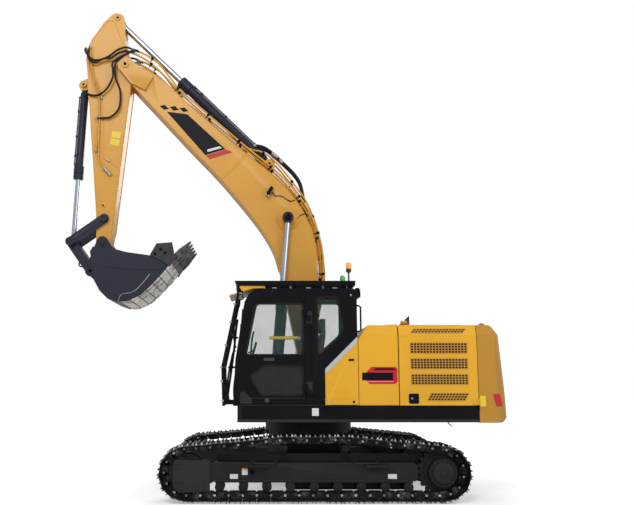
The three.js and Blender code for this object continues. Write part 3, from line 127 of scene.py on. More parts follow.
# %% [markdown]
# ## Camera
#
# A catalogue picture of a machine this tall is taken from the side, a dozen metres away and about
# as high as a person's eyes, tilted up a little so that the boom fits. A long lens from further off
# would flatten it; this one keeps the near track lower than the far one, as the eye sees it.

# %% Camera
LOOKING_UP = 7.9
camera_data = bpy.data.cameras.new("camera")
camera_data.lens = 42.59
camera_data.sensor_width = 36
camera_data.shift_x = 0.0868
camera_data.shift_y = 0.045
camera_data.clip_end = 200
camera = bpy.data.objects.new("camera", camera_data)
camera.location = (-0.2856, -12.28, 1.643)
camera.rotation_euler = (math.radians(90 + LOOKING_UP), 0, 0)
bpy.context.scene.collection.objects.link(camera)
bpy.context.scene.camera = camera
bpy.context.scene.view_settings.view_transform = "Standard"

# %% [markdown]
# ## Writing shader maths as expressions
#
# A paint is a small formula: base colour, darker where dust has gathered, rougher where it is
# worn. Node by node that is slow to write and slower to read, so one class wraps a socket, and
# its operators add the Math nodes.


# %% Shader expressions
class Socket:
    """An output socket whose arithmetic adds Math nodes to its own node tree."""

    def __init__(self, tree, socket):
        self.tree = tree
        self.socket = socket

    def _math(self, operation, *values):
        """The output of a new Math node."""
        return self.tree.add("ShaderNodeMath", {"operation": operation}, *values)

    def __add__(self, other):
        return self._math("ADD", self, other)

    __radd__ = __add__

    def __mul__(self, other):
        return self._math("MULTIPLY", self, other)

    __rmul__ = __mul__

    def __sub__(self, other):
        return self._math("SUBTRACT", self, other)

    def __rsub__(self, other):
        return self._math("SUBTRACT", other, self)

    def __gt__(self, other):
        return self._math("GREATER_THAN", self, other)

    def fraction(self):
        """What is left after the whole number, which repeats from 0 to 1."""
        return self._math("FRACT", self)

    def size(self):
        """The value without its sign."""
        return self._math("ABSOLUTE", self)

    def step(self, low, high):
        """0 below low, 1 above high, and smooth between them."""
        node = {"interpolation_type": "SMOOTHSTEP"}
        return self.tree.add("ShaderNodeMapRange", node, self, low, high)


class Tree:
    """A material's node tree. add() makes any node from its settings and its inputs."""

    def __init__(self, name):
        self.material = bpy.data.materials.new(name)
        self.material.use_nodes = True
        self.nodes = self.material.node_tree.nodes
        self.links = self.material.node_tree.links
        self.shader = self.nodes["Principled BSDF"]
        place = self.nodes.new("ShaderNodeTexCoord")
        self.place = Socket(self, place.outputs["Object"])

    def set(self, node, key, value):
        """Links a socket to an input, or writes a plain value on it."""
        if isinstance(value, Socket):
            self.links.new(value.socket, node.inputs[key])
        else:
            node.inputs[key].default_value = value

    def add(self, kind, settings, *values, out=0, **named):
        """A node of a kind: settings first, then its inputs by number or by name."""
        node = self.nodes.new(kind)
        for key, value in settings.items():
            setattr(node, key, value)
        for index, value in enumerate(values):
            self.set(node, index, value)
        for key, value in named.items():
            self.set(node, key.replace("_", " "), value)
        return Socket(self, node.outputs[out])

    def noise(self, scale, detail=3.0, place=None):
        """Smooth random values round 0.5, with lumps about 1/scale metres across."""
        place = self.place if place is None else place
        return self.add("ShaderNodeTexNoise", {}, Vector=place, Scale=scale, Detail=detail)

    def stretched(self, scale):
        """The object's coordinates, scaled by three different amounts."""
        return self.add("ShaderNodeMapping", {}, Vector=self.place, Scale=scale)

    def axis(self, letter):
        """One of the object's three coordinates, in metres."""
        return self.add("ShaderNodeSeparateXYZ", {}, self.place, out="XYZ".index(letter))

    def mix(self, share, first, second):
        """first where share is 0, second where it is 1; both are colours."""
        node = self.nodes.new("ShaderNodeMix")
        node.data_type = "RGBA"
        self.set(node, 0, share)
        for key, value in ((6, first), (7, second)):
            self.set(node, key, value if isinstance(value, Socket) else (*value, 1))
        return Socket(self, node.outputs[2])

    def bump(self, height, depth, strength=1.0):
        """Tilts the surface as if it rose by height times depth metres."""
        return self.add("ShaderNodeBump", {}, Height=height, Distance=depth, Strength=strength)

    def finish(self, **sockets):
        """Sets the shader's own sockets, such as Roughness=0.4."""
        for key, value in sockets.items():
            if key == "Base_Color" and not isinstance(value, Socket):
                value = (*value, 1)
            self.set(self.shader, key.replace("_", " "), value)
        return self.material


# %% [markdown]
# ## Paints
#
# Machine enamel is thick and glossy, with a faint orange-peel ripple from the spray gun. Even a
# clean machine has a breath of dust on it, more towards the ground, so each paint is mixed towards
# a dust colour by soft noise that fades with height. The dark paints show the same dust as a grey
# bloom.


# %% Enamel
def enamel(name, colour, rough, dust=0.10, dust_colour=(0.30, 0.25, 0.19), coat=0.12, shine=0.35):
    """Sprayed paint: colour varied a little, dust by noise and height, ripple in the gloss."""
    t = Tree(name)
    broad = t.noise(1.3, 4.0)
    fine = t.noise(38.0, 5.0)
    height = t.axis("Z")
    low = 1 - height.step(0.0, 2.4)
    film = (broad * 0.7 + fine * 0.5).step(0.52, 0.86) * (low * 0.8 + 0.2) * dust
    deep = tuple(c * 0.93 for c in colour)
    base = t.mix(t.noise(0.8, 2.0).step(0.35, 0.65), colour, deep)
    ripple = t.noise(420.0, 1.0)
    return t.finish(
        Base_Color=t.mix(film, base, dust_colour),
        Roughness=rough + film * 0.9 + (fine - 0.5) * 0.10,
        Coat_Weight=coat,
        Coat_Roughness=0.12,
        Specular_IOR_Level=shine,
        Normal=t.bump(ripple, 0.0001, 0.35),
    )


HOUSE_YELLOW = enamel("house_yellow", (0.76, 0.385, 0.014), 0.38, dust=0.06)
# Painted shade: the counterweight wears a darker copy of the house paint, standing in for the shade
# on its sides.
SHADED_HOUSE_YELLOW = enamel("counterweight_yellow_painted_shade", (0.47, 0.225, 0.017), 0.48, dust=0.10, coat=0.05)
BOOM_YELLOW = enamel("boom_yellow", (0.64, 0.315, 0.038), 0.42, dust=0.06)
BLACK = enamel("black_paint", (0.0034, 0.0034, 0.0050), 0.42, 0.05, (0.085, 0.082, 0.08), 0.02,
               0.10)
FRAME_BLACK = enamel("frame_paint", (0.012, 0.012, 0.012), 0.5, 0.3, (0.06, 0.057, 0.055), 0.0, 0.2)
NAVY = enamel("navy_paint", (0.016, 0.018, 0.034), 0.45, 0.12, (0.10, 0.098, 0.10), 0.05, 0.25)
GREY_PAINT = enamel("grey_paint", (0.024, 0.024, 0.025), 0.5, 0.1, (0.06, 0.06, 0.06), 0.0, 0.2)
# Painted shade: the louvre slats take a darker copy of the house paint, for the shade that falls on
# them.
SHADED_LOUVRE_YELLOW = enamel("louvre_yellow_painted_shade", (0.50, 0.25, 0.030), 0.45, dust=0.1, coat=0.0)
RED = enamel("red_enamel", (0.50, 0.010, 0.020), 0.38, 0.03)
CREAM = enamel("cream_moulding", (0.55, 0.45, 0.28), 0.45, 0.1, coat=0.0)


# %% [markdown]
# ## Bare and plated metal
#
# Chromed rods are mirrors with the finest scratches along them. Track shoes are painted at the
# works and then polished by the ground on their lugs, so their brightness comes from noise and a
# band at the lugs' tips. The bucket's wear plates are rubbed bright in wide patches, while its lip
# and teeth stay dark. One material can hold paint and steel: a mask on a coordinate parts them.


# %% Metals
def plated():
    """Hard chrome: a mirror tinted blue as a painted reflection, roughness varied by fine long
    scratches.
    """
    t = Tree("chrome")
    scratches = t.noise(60.0, 4.0, t.stretched((3.0, 60.0, 3.0)))
    return t.finish(
        # The blue tint is a painted reflection.
        Base_Color=(0.50, 0.54, 0.64),
        Metallic=1.0,
        Roughness=0.10 + scratches * 0.12,
    )


def worn_steel(name, dark, bright, low, high, rough=0.42, metallic=0.85):
    """Steel between a dark and a bright tone, chosen by two sizes of noise."""
    t = Tree(name)
    wear = (t.noise(9.0, 6.0) * 0.6 + t.noise(85.0, 4.0) * 0.4).step(low, high)
    return t.finish(
        Base_Color=t.mix(wear, dark, bright),
        Metallic=metallic,
        Roughness=rough + (1 - wear) * 0.2,
        Normal=t.bump(t.noise(160.0, 4.0), 0.0006, 0.5),
    )


def rubbed_plate():
    """Thick plate rubbed bright by the ground, with wide soft patches of a darker tone."""
    t = Tree("worn_plate")
    patches = t.noise(4.5, 1.5).step(0.32, 0.62)
    return t.finish(
        Base_Color=t.mix(patches, (0.36, 0.33, 0.30), (0.84, 0.81, 0.77)),
        Metallic=0.1,
        Roughness=0.5 + (1 - patches) * 0.15,
    )


def edge_steel(inside=0.598, outside=0.602):
    """Dark steel across the lip, and paint on the side plates: further out than these metres."""
    t = Tree("edge_steel")
    painted = t.axis("Y").size().step(inside, outside)
    wear = t.noise(7.0, 1.5).step(0.36, 0.7)
    bare = t.mix(wear, (0.022, 0.022, 0.026), (0.085, 0.08, 0.078))
    return t.finish(
        Base_Color=t.mix(painted, bare, (0.012, 0.013, 0.018)),
        Metallic=(1 - painted) * 0.35,
        Roughness=0.42 + (1 - wear) * 0.2,
        Normal=t.bump(t.noise(160.0, 4.0), 0.0006, 0.5),
    )


CHROME = plated()
EDGE_STEEL = edge_steel()
TRACK_STEEL = worn_steel("track_steel", (0.020, 0.020, 0.021), (0.16, 0.155, 0.15), 0.50, 0.66)
# Partly wear and partly a painted highlight: the pale grouser ends and pin ends on the tracks.
RUBBED_AND_HIGHLIT = worn_steel("rubbed_steel_and_highlight", (0.16, 0.155, 0.15), (0.80, 0.79, 0.77), 0.42, 0.60, 0.35, 0.15)
COOLER = worn_steel("cooler_fins", (0.10, 0.10, 0.10), (0.30, 0.30, 0.30), 0.4, 0.6, 0.5, 0.7)
POLISHED = worn_steel("polished_lugs", (0.07, 0.068, 0.066), (0.52, 0.51, 0.49), 0.38, 0.58, 0.3)
# Partly worn steel and partly a painted highlight: the pale bead along the bucket's lip edges.
WORN_AND_HIGHLIT_EDGE = worn_steel("wear_steel", (0.26, 0.235, 0.205), (0.52, 0.49, 0.45), 0.36, 0.64, 0.42,
                        0.35)
WORN_PLATE = rubbed_plate()
CAST_IRON = worn_steel("cast_iron", (0.045, 0.045, 0.047), (0.10, 0.10, 0.10), 0.40, 0.62, 0.6, 0.4)
BOLT_STEEL = worn_steel("zinc_steel", (0.30, 0.30, 0.29), (0.50, 0.50, 0.48), 0.4, 0.6, 0.35, 0.9)


# %% [markdown]
# ## Glass, rubber, fabric and moulded plastic
#
# The cab's panes are lightly tinted safety glass, darker in the door's lower half. Hoses are rubber
# with a woven cover. The seat is a hard-wearing twill over foam, and the trim round it is grained
# plastic, whose pebbles are a Voronoi pattern a few tenths of a millimetre deep. Lenses glow a
# little in their own colour, since a lamp's real reflector would not show at this distance.


# %% Soft and clear materials
def tinted_glass(name="tinted_glass", tint=(0.065, 0.12, 0.115), cover=0.15):
    """A smooth pane; cover is the share that it hides of what lies behind."""
    t = Tree(name)
    smear = t.noise(2.2, 3.0)
    t.material.surface_render_method = "BLENDED"
    return t.finish(
        Base_Color=tint,
        Roughness=0.02 + smear * 0.03,
        Alpha=cover + smear.step(0.4, 0.8) * 0.05,
        Coat_Weight=0.2,
    )


def rubber(name="hose_rubber", colour=(0.006, 0.006, 0.007), rough=0.4):
    """Black rubber: a cell pattern for the cover's weave, and dust by coarse noise."""
    t = Tree(name)
    weave = t.add("ShaderNodeTexVoronoi", {}, Vector=t.place, Scale=420.0)
    return t.finish(
        Base_Color=t.mix(t.noise(14.0, 3.0).step(0.45, 0.75) * 0.2, colour, (0.03, 0.03, 0.028)),
        Roughness=rough + t.noise(30.0) * 0.15,
        Normal=t.bump(weave, 0.0003, 0.4),
        Specular_IOR_Level=0.25,
    )


def twill():
    """Diagonal ribs, 1.6 mm apart along each axis, crossed by finer threads."""
    t = Tree("seat_twill")
    x, y, z = (t.axis(c) for c in "XYZ")
    rib = ((x + y + z) * 620.0).fraction()
    thread = ((x - y + z) * 900.0).fraction()
    ribs = (rib - 0.5).size() * 2.0
    return t.finish(
        Base_Color=t.mix(ribs * (0.6 + thread * 0.4), (0.020, 0.021, 0.025), (0.055, 0.058, 0.066)),
        Roughness=0.85,
        Normal=t.bump(ribs, 0.0008, 0.6),
        Sheen_Weight=0.25,
    )


def moulded(name, colour, rough=0.5, shine=0.5):
    """Moulded plastic, film or putty: a pebbled grain and a colour that varies by a fifth."""
    t = Tree(name)
    pebbles = t.add("ShaderNodeTexVoronoi", {}, Vector=t.place, Scale=330.0)
    return t.finish(
        Base_Color=t.mix(t.noise(6.0, 2.0), colour, tuple(c * 0.8 for c in colour)),
        Roughness=rough + t.noise(20.0) * 0.1,
        Specular_IOR_Level=shine,
        Normal=t.bump(pebbles, 0.0004, 0.4),
    )


def striped():
    """Safety stripes: yellow and black bands 45 mm apart, slanting along a bar."""
    t = Tree("safety_stripes")
    band = ((t.axis("X") + t.axis("Z")) * 22.0).fraction() > 0.62
    return t.finish(Base_Color=t.mix(band, (0.85, 0.62, 0.02), (0.03, 0.03, 0.02)),
                    Roughness=0.45 + t.noise(40.0) * 0.1)


def lens(name, colour, glow):
    """A ribbed lens: the distance from the middle of each 11 mm band is both shade and bump."""
    t = Tree(name)
    ribs = ((t.axis("Z") * 90.0).fraction() - 0.5).size() * 2.0
    return t.finish(
        Base_Color=t.mix(ribs * 0.5, colour, tuple(c * 0.6 for c in colour)),
        Roughness=0.18,
        Emission_Color=(*colour, 1),
        Emission_Strength=glow,
        Coat_Weight=0.6,
        Normal=t.bump(ribs, 0.001, 0.5),
    )


GLASS = tinted_glass()
DOOR_GLASS = tinted_glass("shaded_glass", (0.012, 0.017, 0.018), 0.62)
RUBBER = rubber()
SEAL = rubber("window_rubber", (0.010, 0.010, 0.011), 0.6)
TWILL = twill()
TRIM = moulded("cab_trim", (0.035, 0.036, 0.040))
GREY_TRIM = moulded("cab_trim_grey", (0.16, 0.165, 0.17))
# Painted shade: a near-black sheet laid where a hole, recess or gap would show only shadow. The
# monitor's face takes it as its own dark colour.
SHADE_AND_SCREEN_BLACK = moulded("shadow_gap", (0.004, 0.004, 0.005), 0.8, 0.1)
STRIPED = striped()
LABEL_WHITE = moulded("label_white", (0.72, 0.72, 0.70), 0.35)
LABEL_YELLOW = moulded("label_yellow", (0.86, 0.62, 0.02), 0.35)
LABEL_ORANGE = moulded("label_orange", (0.80, 0.20, 0.02), 0.35)
SILVER = moulded("silver_stripe", (0.50, 0.51, 0.53), 0.30)
DECAL_NAVY = moulded("decal_navy", (0.006, 0.006, 0.012), 0.45, 0.15)
AMBER = lens("amber_lens", (0.95, 0.36, 0.01), 0.35)
GREEN = lens("green_lens", (0.02, 0.45, 0.10), 0.15)
CLEAR_LENS = lens("clear_lens", (0.75, 0.76, 0.78), 0.1)


# %% [markdown]
# ## Floor and lamps
#
# One flat sheet is the floor, and the world behind it is the backdrop. Light Path tells rays from
# the camera from all others. To the camera the floor glows just enough to show white round the
# shadow, and the world is white; to every other ray they are only pale, so they light the machine
# softly. Large soft lamps stand where the sky would be brightest.


# %% Studio
def backdrop():
    """A floor 120 m wide that the camera sees as white, darkened only by the machine's shadow."""
    t = Tree("studio_floor")
    seen = t.add("ShaderNodeLightPath", {})
    far = t.add("ShaderNodeVectorMath", {"operation": "LENGTH"}, t.place, out=1).step(6, 16)
    t.finish(Base_Color=(0.80, 0.80, 0.80), Roughness=0.9, Specular_IOR_Level=0.0,
             Emission_Color=t.mix(seen * (0.36 + far * 0.3), (0, 0, 0), (1, 1, 1)),
             Emission_Strength=1.0)
    verts = [(-60, -60, 0), (60, -60, 0), (60, 60, 0), (-60, 60, 0)]
    mesh = bpy.data.meshes.new("studio_floor")
    mesh.from_pydata(verts, [], [(0, 1, 2, 3)])
    mesh.materials.append(t.material)
    floor = bpy.data.objects.new("studio_floor", mesh)
    floor.location.z = -0.002
    bpy.context.scene.collection.objects.link(floor)


def studio_world(ambient):
    """White to the camera and through glass; an even soft light to all else."""
    world = bpy.data.worlds.new("studio")
    bpy.context.scene.world = world
    world.use_nodes = True
    nodes, links = world.node_tree.nodes, world.node_tree.links
    background = nodes["Background"]
    path = nodes.new("ShaderNodeLightPath")
    white = nodes.new("ShaderNodeMath")
    white.operation = "MAXIMUM"
    links.new(path.outputs["Is Camera Ray"], white.inputs[0])
    links.new(path.outputs["Is Transmission Ray"], white.inputs[1])
    strength = nodes.new("ShaderNodeMapRange")
    links.new(white.outputs[0], strength.inputs[0])
    strength.inputs["To Min"].default_value = ambient
    strength.inputs["To Max"].default_value = 1.0
    links.new(strength.outputs[0], background.inputs["Strength"])
    background.inputs["Color"].default_value = (1, 1, 1, 1)


def softbox(name, place, target, size, power):
    """A square lamp of that size in metres, aimed at a point."""
    data = bpy.data.lights.new(name, "AREA")
    data.shape = "SQUARE"
    data.size = size
    data.energy = power
    lamp = bpy.data.objects.new(name, data)
    lamp.location = place
    aim = np.subtract(target, place)
    lamp.rotation_euler = (math.atan2(math.hypot(aim[0], aim[1]), -aim[2]), 0,
                           math.atan2(-aim[0], aim[1]))
    bpy.context.scene.collection.objects.link(lamp)


backdrop()
studio_world(ambient=0.56)
softbox("key_light", (-6, -22, 18), (0, 0, 3), 9.0, 2350)
softbox("fill_light", (11, -12, 9), (0, 0, 2), 9.0, 600)
softbox("rim_light", (4, 13, 11), (0, 0, 3), 8.0, 900)


# %% [markdown]
# ## Surfaces from numbers
#
# Every new piece is a list of surfaces, each a pair of arrays: points, and faces as rows of point
# numbers. A few makers cover nearly all of a machine: a plate is an outline pushed sideways, a
# turned piece is a profile carried round an axis, and a hose is a ring carried along a path.
# They're pooled into one mesh, so that a hose and its two end fittings are one object.


# %% Grid faces
def grid_faces(rows, columns, close_rows=False, close_columns=False):
    """Four-cornered faces of a grid; closing joins the last row or column to the first."""
    r = np.arange(rows if close_rows else rows - 1)
    c = np.arange(columns if close_columns else columns - 1)
    i, j = np.meshgrid(r, c, indexing="ij")
    i2, j2 = (i + 1) % rows, (j + 1) % columns
    quads = np.stack([i * columns + j, i * columns + j2, i2 * columns + j2, i2 * columns + j], -1)
    return [tuple(q) for q in quads.reshape(-1, 4).tolist()]


def pooled(*parts):
    """Several surfaces as one: each one's face numbers are moved up past the points before it."""
    points, faces, start = [], [], 0
    for p, f in parts:
        points.append(np.asarray(p, float))
        faces += [tuple(k + start for k in face) for face in f]
        start += len(p)
    return np.concatenate(points), faces


# %% [markdown]
# ## Plates and turned parts
#
# Most of a machine is cut from plate or turned on a lathe. Extrude and Spin would make both by
# hand. As arrays, an outline stays a short list that can be read and changed, and the hundredth
# bolt costs no more work than the first.

# %% Plates, blocks and rounds
UP = (0, 0, 1)


def plate(outline, low, high):
    """An outline of [ahead, up] points pushed from one side to the other: a prism."""
    o = np.asarray(outline, float)
    n = len(o)
    side = np.zeros((n, 3))
    side[:, [0, 2]] = o
    points = np.concatenate([side + [0, low, 0], side + [0, high, 0]])
    ring = [(i, (i + 1) % n, n + (i + 1) % n, n + i) for i in range(n)]
    return points, ring + [tuple(range(n))[::-1], tuple(range(n, 2 * n))]


def rectangle(x0, x1, z0, z1):
    """The four corners of an upright rectangle, as [ahead, up]."""
    return [(x0, z0), (x1, z0), (x1, z1), (x0, z1)]


def block(x, y, z):
    """A box between two corners."""
    return plate(rectangle(*x, *z), *y)


def turned(profile, centre, axis, sides=32, ring=False):
    """A profile of [distance along the axis, radius] carried round it, closed by two flat ends.

    A ring has a hole instead: the profile's last point is joined to its first.
    """
    prof = np.asarray(profile, float)
    axis = np.asarray(axis, float) / np.linalg.norm(axis)
    u = np.cross(axis, (0.31, 0.17, 0.93))
    u /= np.linalg.norm(u)
    v = np.cross(axis, u)
    turn = np.linspace(0, 2 * np.pi, sides, endpoint=False)
    circle = np.cos(turn)[:, None] * u + np.sin(turn)[:, None] * v
    points = (np.asarray(centre, float) + prof[:, 0, None, None] * axis
              + prof[:, 1, None, None] * circle)
    faces = grid_faces(len(prof), sides, ring, True)
    if not ring:
        last = (len(prof) - 1) * sides
        faces += [tuple(range(sides))[::-1], tuple(range(last, last + sides))]
    return points.reshape(-1, 3), faces


def round_bar(start, end, radius, sides=20, edge=0.0):
    """A straight round bar between two points, its ends rounded over by the edge."""
    start, end = np.asarray(start, float), np.asarray(end, float)
    length = np.linalg.norm(end - start)
    profile = [(0, radius - edge), (edge, radius), (length - edge, radius), (length, radius - edge)]
    return turned(profile if edge else [(0, radius), (length, radius)], start, end - start, sides)


def hexagon_head(centre, axis, across, height):
    """A bolt head: six flats and a slightly domed top on a thin washer."""
    r = across / math.sqrt(3)
    washer = turned([(0, r * 1.25), (height * 0.2, r * 1.25)], centre, axis, 16)
    head = turned([(height * 0.2, r), (height * 0.9, r), (height, r * 0.85)], centre, axis, 6)
    return pooled(washer, head)


# %% [markdown]
# ## Pipes, hoses and seals
#
# A pipe is bent from straight tube, and a seal is pressed round a pane. A curve with a bevel would
# draw them too, but its ends are open. A ring carried along a path has closed ends and even faces,
# and each ring turns from the last one as little as it can, so that no hose is twisted.

# %% Paths and tubes
def curve_through(points, count=60):
    """Catmull-Rom: between two points the path leans along the line joining their neighbours."""
    p = np.asarray(points, float)
    p = np.concatenate([[2 * p[0] - p[1]], p, [2 * p[-1] - p[-2]]])
    spans = len(p) - 3
    t = np.linspace(0, spans, count)
    i = np.minimum(t.astype(int), spans - 1)
    t = (t - i)[:, None]
    a, b, c, d = p[i], p[i + 1], p[i + 2], p[i + 3]
    return 0.5 * (2 * b + (c - a) * t + (2 * a - 5 * b + 4 * c - d) * t**2
                  + (3 * b - a - 3 * c + d) * t**3)


def tube(path, radius, sides=10):
    """A ring carried along a path; each ring's frame is the last one turned as little as it can."""
    p = np.asarray(path, float)
    tangent = np.gradient(p, axis=0)
    tangent /= np.linalg.norm(tangent, axis=1)[:, None]
    u = np.zeros_like(p)
    first = np.cross(tangent[0], (0.21, 0.93, 0.3))
    u[0] = first / np.linalg.norm(first)
    for i in range(1, len(p)):
        step = u[i - 1] - tangent[i] * (u[i - 1] @ tangent[i])
        u[i] = step / np.linalg.norm(step)
    v = np.cross(tangent, u)
    turn = np.linspace(0, 2 * np.pi, sides, endpoint=False)
    radius = np.broadcast_to(radius, len(p))[:, None, None]
    rings = p[:, None] + radius * (np.cos(turn)[None, :, None] * u[:, None]
                                   + np.sin(turn)[None, :, None] * v[:, None])
    faces = grid_faces(len(p), sides, close_columns=True)
    faces += [tuple(range(sides))[::-1], tuple(range((len(p) - 1) * sides, len(p) * sides))]
    return rings.reshape(-1, 3), faces


def closed_tube(path, radius, sides=8):
    """A tube whose path runs back to its start, such as a window's rubber seal."""
    p = np.asarray(path, float)
    ahead, behind = np.roll(p, -1, axis=0), np.roll(p, 1, axis=0)
    tangent = ahead - behind
    tangent /= np.linalg.norm(tangent, axis=1)[:, None]
    middle = p.mean(0)
    flat = np.linalg.svd(p - middle)[2][2]
    u = np.cross(tangent, flat)
    u /= np.linalg.norm(u, axis=1)[:, None]
    turn = np.linspace(0, 2 * np.pi, sides, endpoint=False)
    rings = p[:, None] + radius * (np.cos(turn)[None, :, None] * u[:, None]
                                   + np.sin(turn)[None, :, None] * flat)
    return rings.reshape(-1, 3), grid_faces(len(p), sides, True, True)


def softened(outline, radius, steps=4):
    """A closed outline with each corner rounded by a curve that starts a radius away from it."""
    o = np.asarray(outline, float)
    before, after = np.roll(o, 1, axis=0), np.roll(o, -1, axis=0)
    into, out = before - o, after - o
    gap_in, gap_out = np.linalg.norm(into, axis=1), np.linalg.norm(out, axis=1)
    reach_in = np.minimum(radius, gap_in * 0.45)[:, None]
    reach_out = np.minimum(radius, gap_out * 0.45)[:, None]
    a = o + into / gap_in[:, None] * reach_in
    b = o + out / gap_out[:, None] * reach_out
    t = np.linspace(0, 1, steps + 1)[None, :, None]
    a, b, o = a[:, None], b[:, None], o[:, None]
    return ((1 - t)**2 * a + 2 * t * (1 - t) * o + t**2 * b).reshape(-1, o.shape[-1])


# %% [markdown]
# ## From arrays to a piece
#
# A piece is a mesh whose points are already in their places, so its object sits at the origin. Its
# edges are rolled by a small Bevel, because no real edge is perfectly sharp and the rolled edge is
# what catches the light. Faces that meet gently are shaded as one curved surface.


# %% Making pieces
BEVEL_ANGLE = math.radians(34)


def shade(mesh):
    """Smooth shading, except across edges sharper than the bevel's angle."""
    mesh.shade_smooth()
    mesh.set_sharp_from_angle(angle=BEVEL_ANGLE)


def bevel(thing, width):
    """Rolls the sharp edges over by a width in metres."""
    modifier = thing.modifiers.new("rolled_edges", "BEVEL")
    modifier.width = width
    modifier.segments = 2
    modifier.limit_method = "ANGLE"
    modifier.angle_limit = BEVEL_ANGLE
    modifier.harden_normals = True
    modifier.miter_outer = "MITER_ARC"


def piece(name, member, surface, body, material, edge=0.0, instead_of=(), second=None):
    """One object from a surface, or a list of them, in a member's millimetres.

    It rides a body. second is (material, numbers of the faces that take it).
    """
    points, faces = pooled(*surface) if isinstance(surface, list) else surface
    mesh = bpy.data.meshes.new(name)
    mesh.from_pydata(member.to(points), [], faces)
    mesh.materials.append(material)
    if second is not None:
        mesh.materials.append(second[0])
        index = np.zeros(len(faces), int)
        index[np.asarray(second[1], int)] = 1
        mesh.polygons.foreach_set("material_index", index)
    work = bmesh.new()
    work.from_mesh(mesh)
    bmesh.ops.recalc_face_normals(work, faces=work.faces)
    work.to_mesh(mesh)
    work.free()
    shade(mesh)
    thing = bpy.data.objects.new(name, mesh)
    bpy.context.scene.collection.objects.link(thing)
    if edge:
        bevel(thing, edge)
    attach(thing, body)
    if instead_of:
        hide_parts(*instead_of)
    return thing


# %% [markdown]
# ## Rolled edges on the CAD pieces
#
# The CAD solids have the right shapes but perfectly sharp edges. Each is copied, its triangles are
# merged back into whole faces, and a Bevel rolls its edges: a plate by a couple of millimetres, a
# casting by more. The copy then stands for the CAD node.


# %% Finished copies of CAD nodes
def whole_faces(mesh):
    """Merges the loose triangles' corners, then joins triangles that lie in one plane."""
    work = bmesh.new()
    work.from_mesh(mesh)
    bmesh.ops.remove_doubles(work, verts=work.verts, dist=2e-5)
    bmesh.ops.dissolve_degenerate(work, edges=work.edges, dist=2e-5)
    bmesh.ops.dissolve_limit(work, angle_limit=math.radians(0.6), verts=work.verts,
                             edges=work.edges)
    work.to_mesh(mesh)
    work.free()


def dress(node, material, edge=0.0):
    """A finished copy of a CAD node, its edges rolled over by a width in metres."""
    source = frame["nodes"][node]
    mesh = source.data.copy()
    mesh.materials.clear()
    mesh.materials.append(material)
    whole_faces(mesh)
    shade(mesh)
    thing = bpy.data.objects.new(node + "_finished", mesh)
    bpy.context.scene.collection.objects.link(thing)
    if edge:
        bevel(thing, edge)
    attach(thing, source["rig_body"])
    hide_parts(node)


PAINTED = {
    # The counterweight's darker yellow is painted shade.
    "counterweight": (SHADED_HOUSE_YELLOW, "house_yellow", 0.022),
    "house_frame": (HOUSE_YELLOW, "house_yellow", 0.003),
    "side_panel": (HOUSE_YELLOW, "house_yellow", 0.009),
    "front_door": (HOUSE_YELLOW, "house_yellow", 0.006),
    "radiator_door": (HOUSE_YELLOW, "house_yellow", 0.009),
    "pump_door": (HOUSE_YELLOW, "house_yellow", 0.009),
    "fuel_tank": (HOUSE_YELLOW, "house_yellow", 0.012),
    "hydraulic_tank": (HOUSE_YELLOW, "house_yellow", 0.012),
    "toolbox": (HOUSE_YELLOW, "house_yellow", 0.010),
    "bonnet": (HOUSE_YELLOW, "house_yellow", 0.012),
    "deck": (BLACK, "black_paint", 0.006),
    "cab_shell": (BLACK, "black_paint", 0.006),
    "cab_door": (BLACK, "black_paint", 0.005),
    "cab_guard": (BLACK, "black_paint", 0.003),
    "carbody": (FRAME_BLACK, "black_paint", 0.010),
    "track_frame_left": (FRAME_BLACK, "black_paint", 0.005),
    "track_frame_right": (FRAME_BLACK, "black_paint", 0.005),
    "sprocket_left": (FRAME_BLACK, "black_paint", 0.004),
    "sprocket_right": (FRAME_BLACK, "black_paint", 0.004),
    "boom": (BOOM_YELLOW, "boom_yellow", 0.007),
    "arm": (BOOM_YELLOW, "boom_yellow", 0.006),
    "rocker": (NAVY, "navy_paint", 0.006),
    "bucket_link": (NAVY, "navy_paint", 0.008),
    "bucket": (NAVY, "navy_paint", 0.006),
    "cutting_edge": (EDGE_STEEL, "wear_steel", 0.006),
    "engine_block": (CAST_IRON, "engine_iron", 0.015),
    "exhaust_pipe": (CAST_IRON, "engine_iron", 0.002),
    "handrail": (BLACK, "rail_steel", 0.0),
}
for node, (material, slot, edge) in PAINTED.items():
    dress(node, material, edge)
for node in ("windscreen", "glass_quarter", "glass_right", "glass_rear", "door_glass_upper"):
    dress(node, GLASS)
dress("door_glass_lower", DOOR_GLASS)


# %% [markdown]
# ## Tracks
#
# A track is a loop of 49 steel shoes bolted to two rows of links. Each shoe is a rolled plate with
# three grousers, and shoes overlap a little at their edges. The loop is flat on the ground, half
# round at both ends and humped over the carrier rollers. One link of it is modelled once, and all
# 49 are placed in a single array sum: middle + along * tangent + depth * inward normal.

# %% The loop of the grousers' tips
TRACK_HALF, TUMBLER, RISE = 2230, 409, 130
SPROCKET_X = TRACK_HALF - TUMBLER
CARRIERS = (-430, 457)
SHOES, SHOE_HALF, GAUGE_HALF = 49, 300, 1190


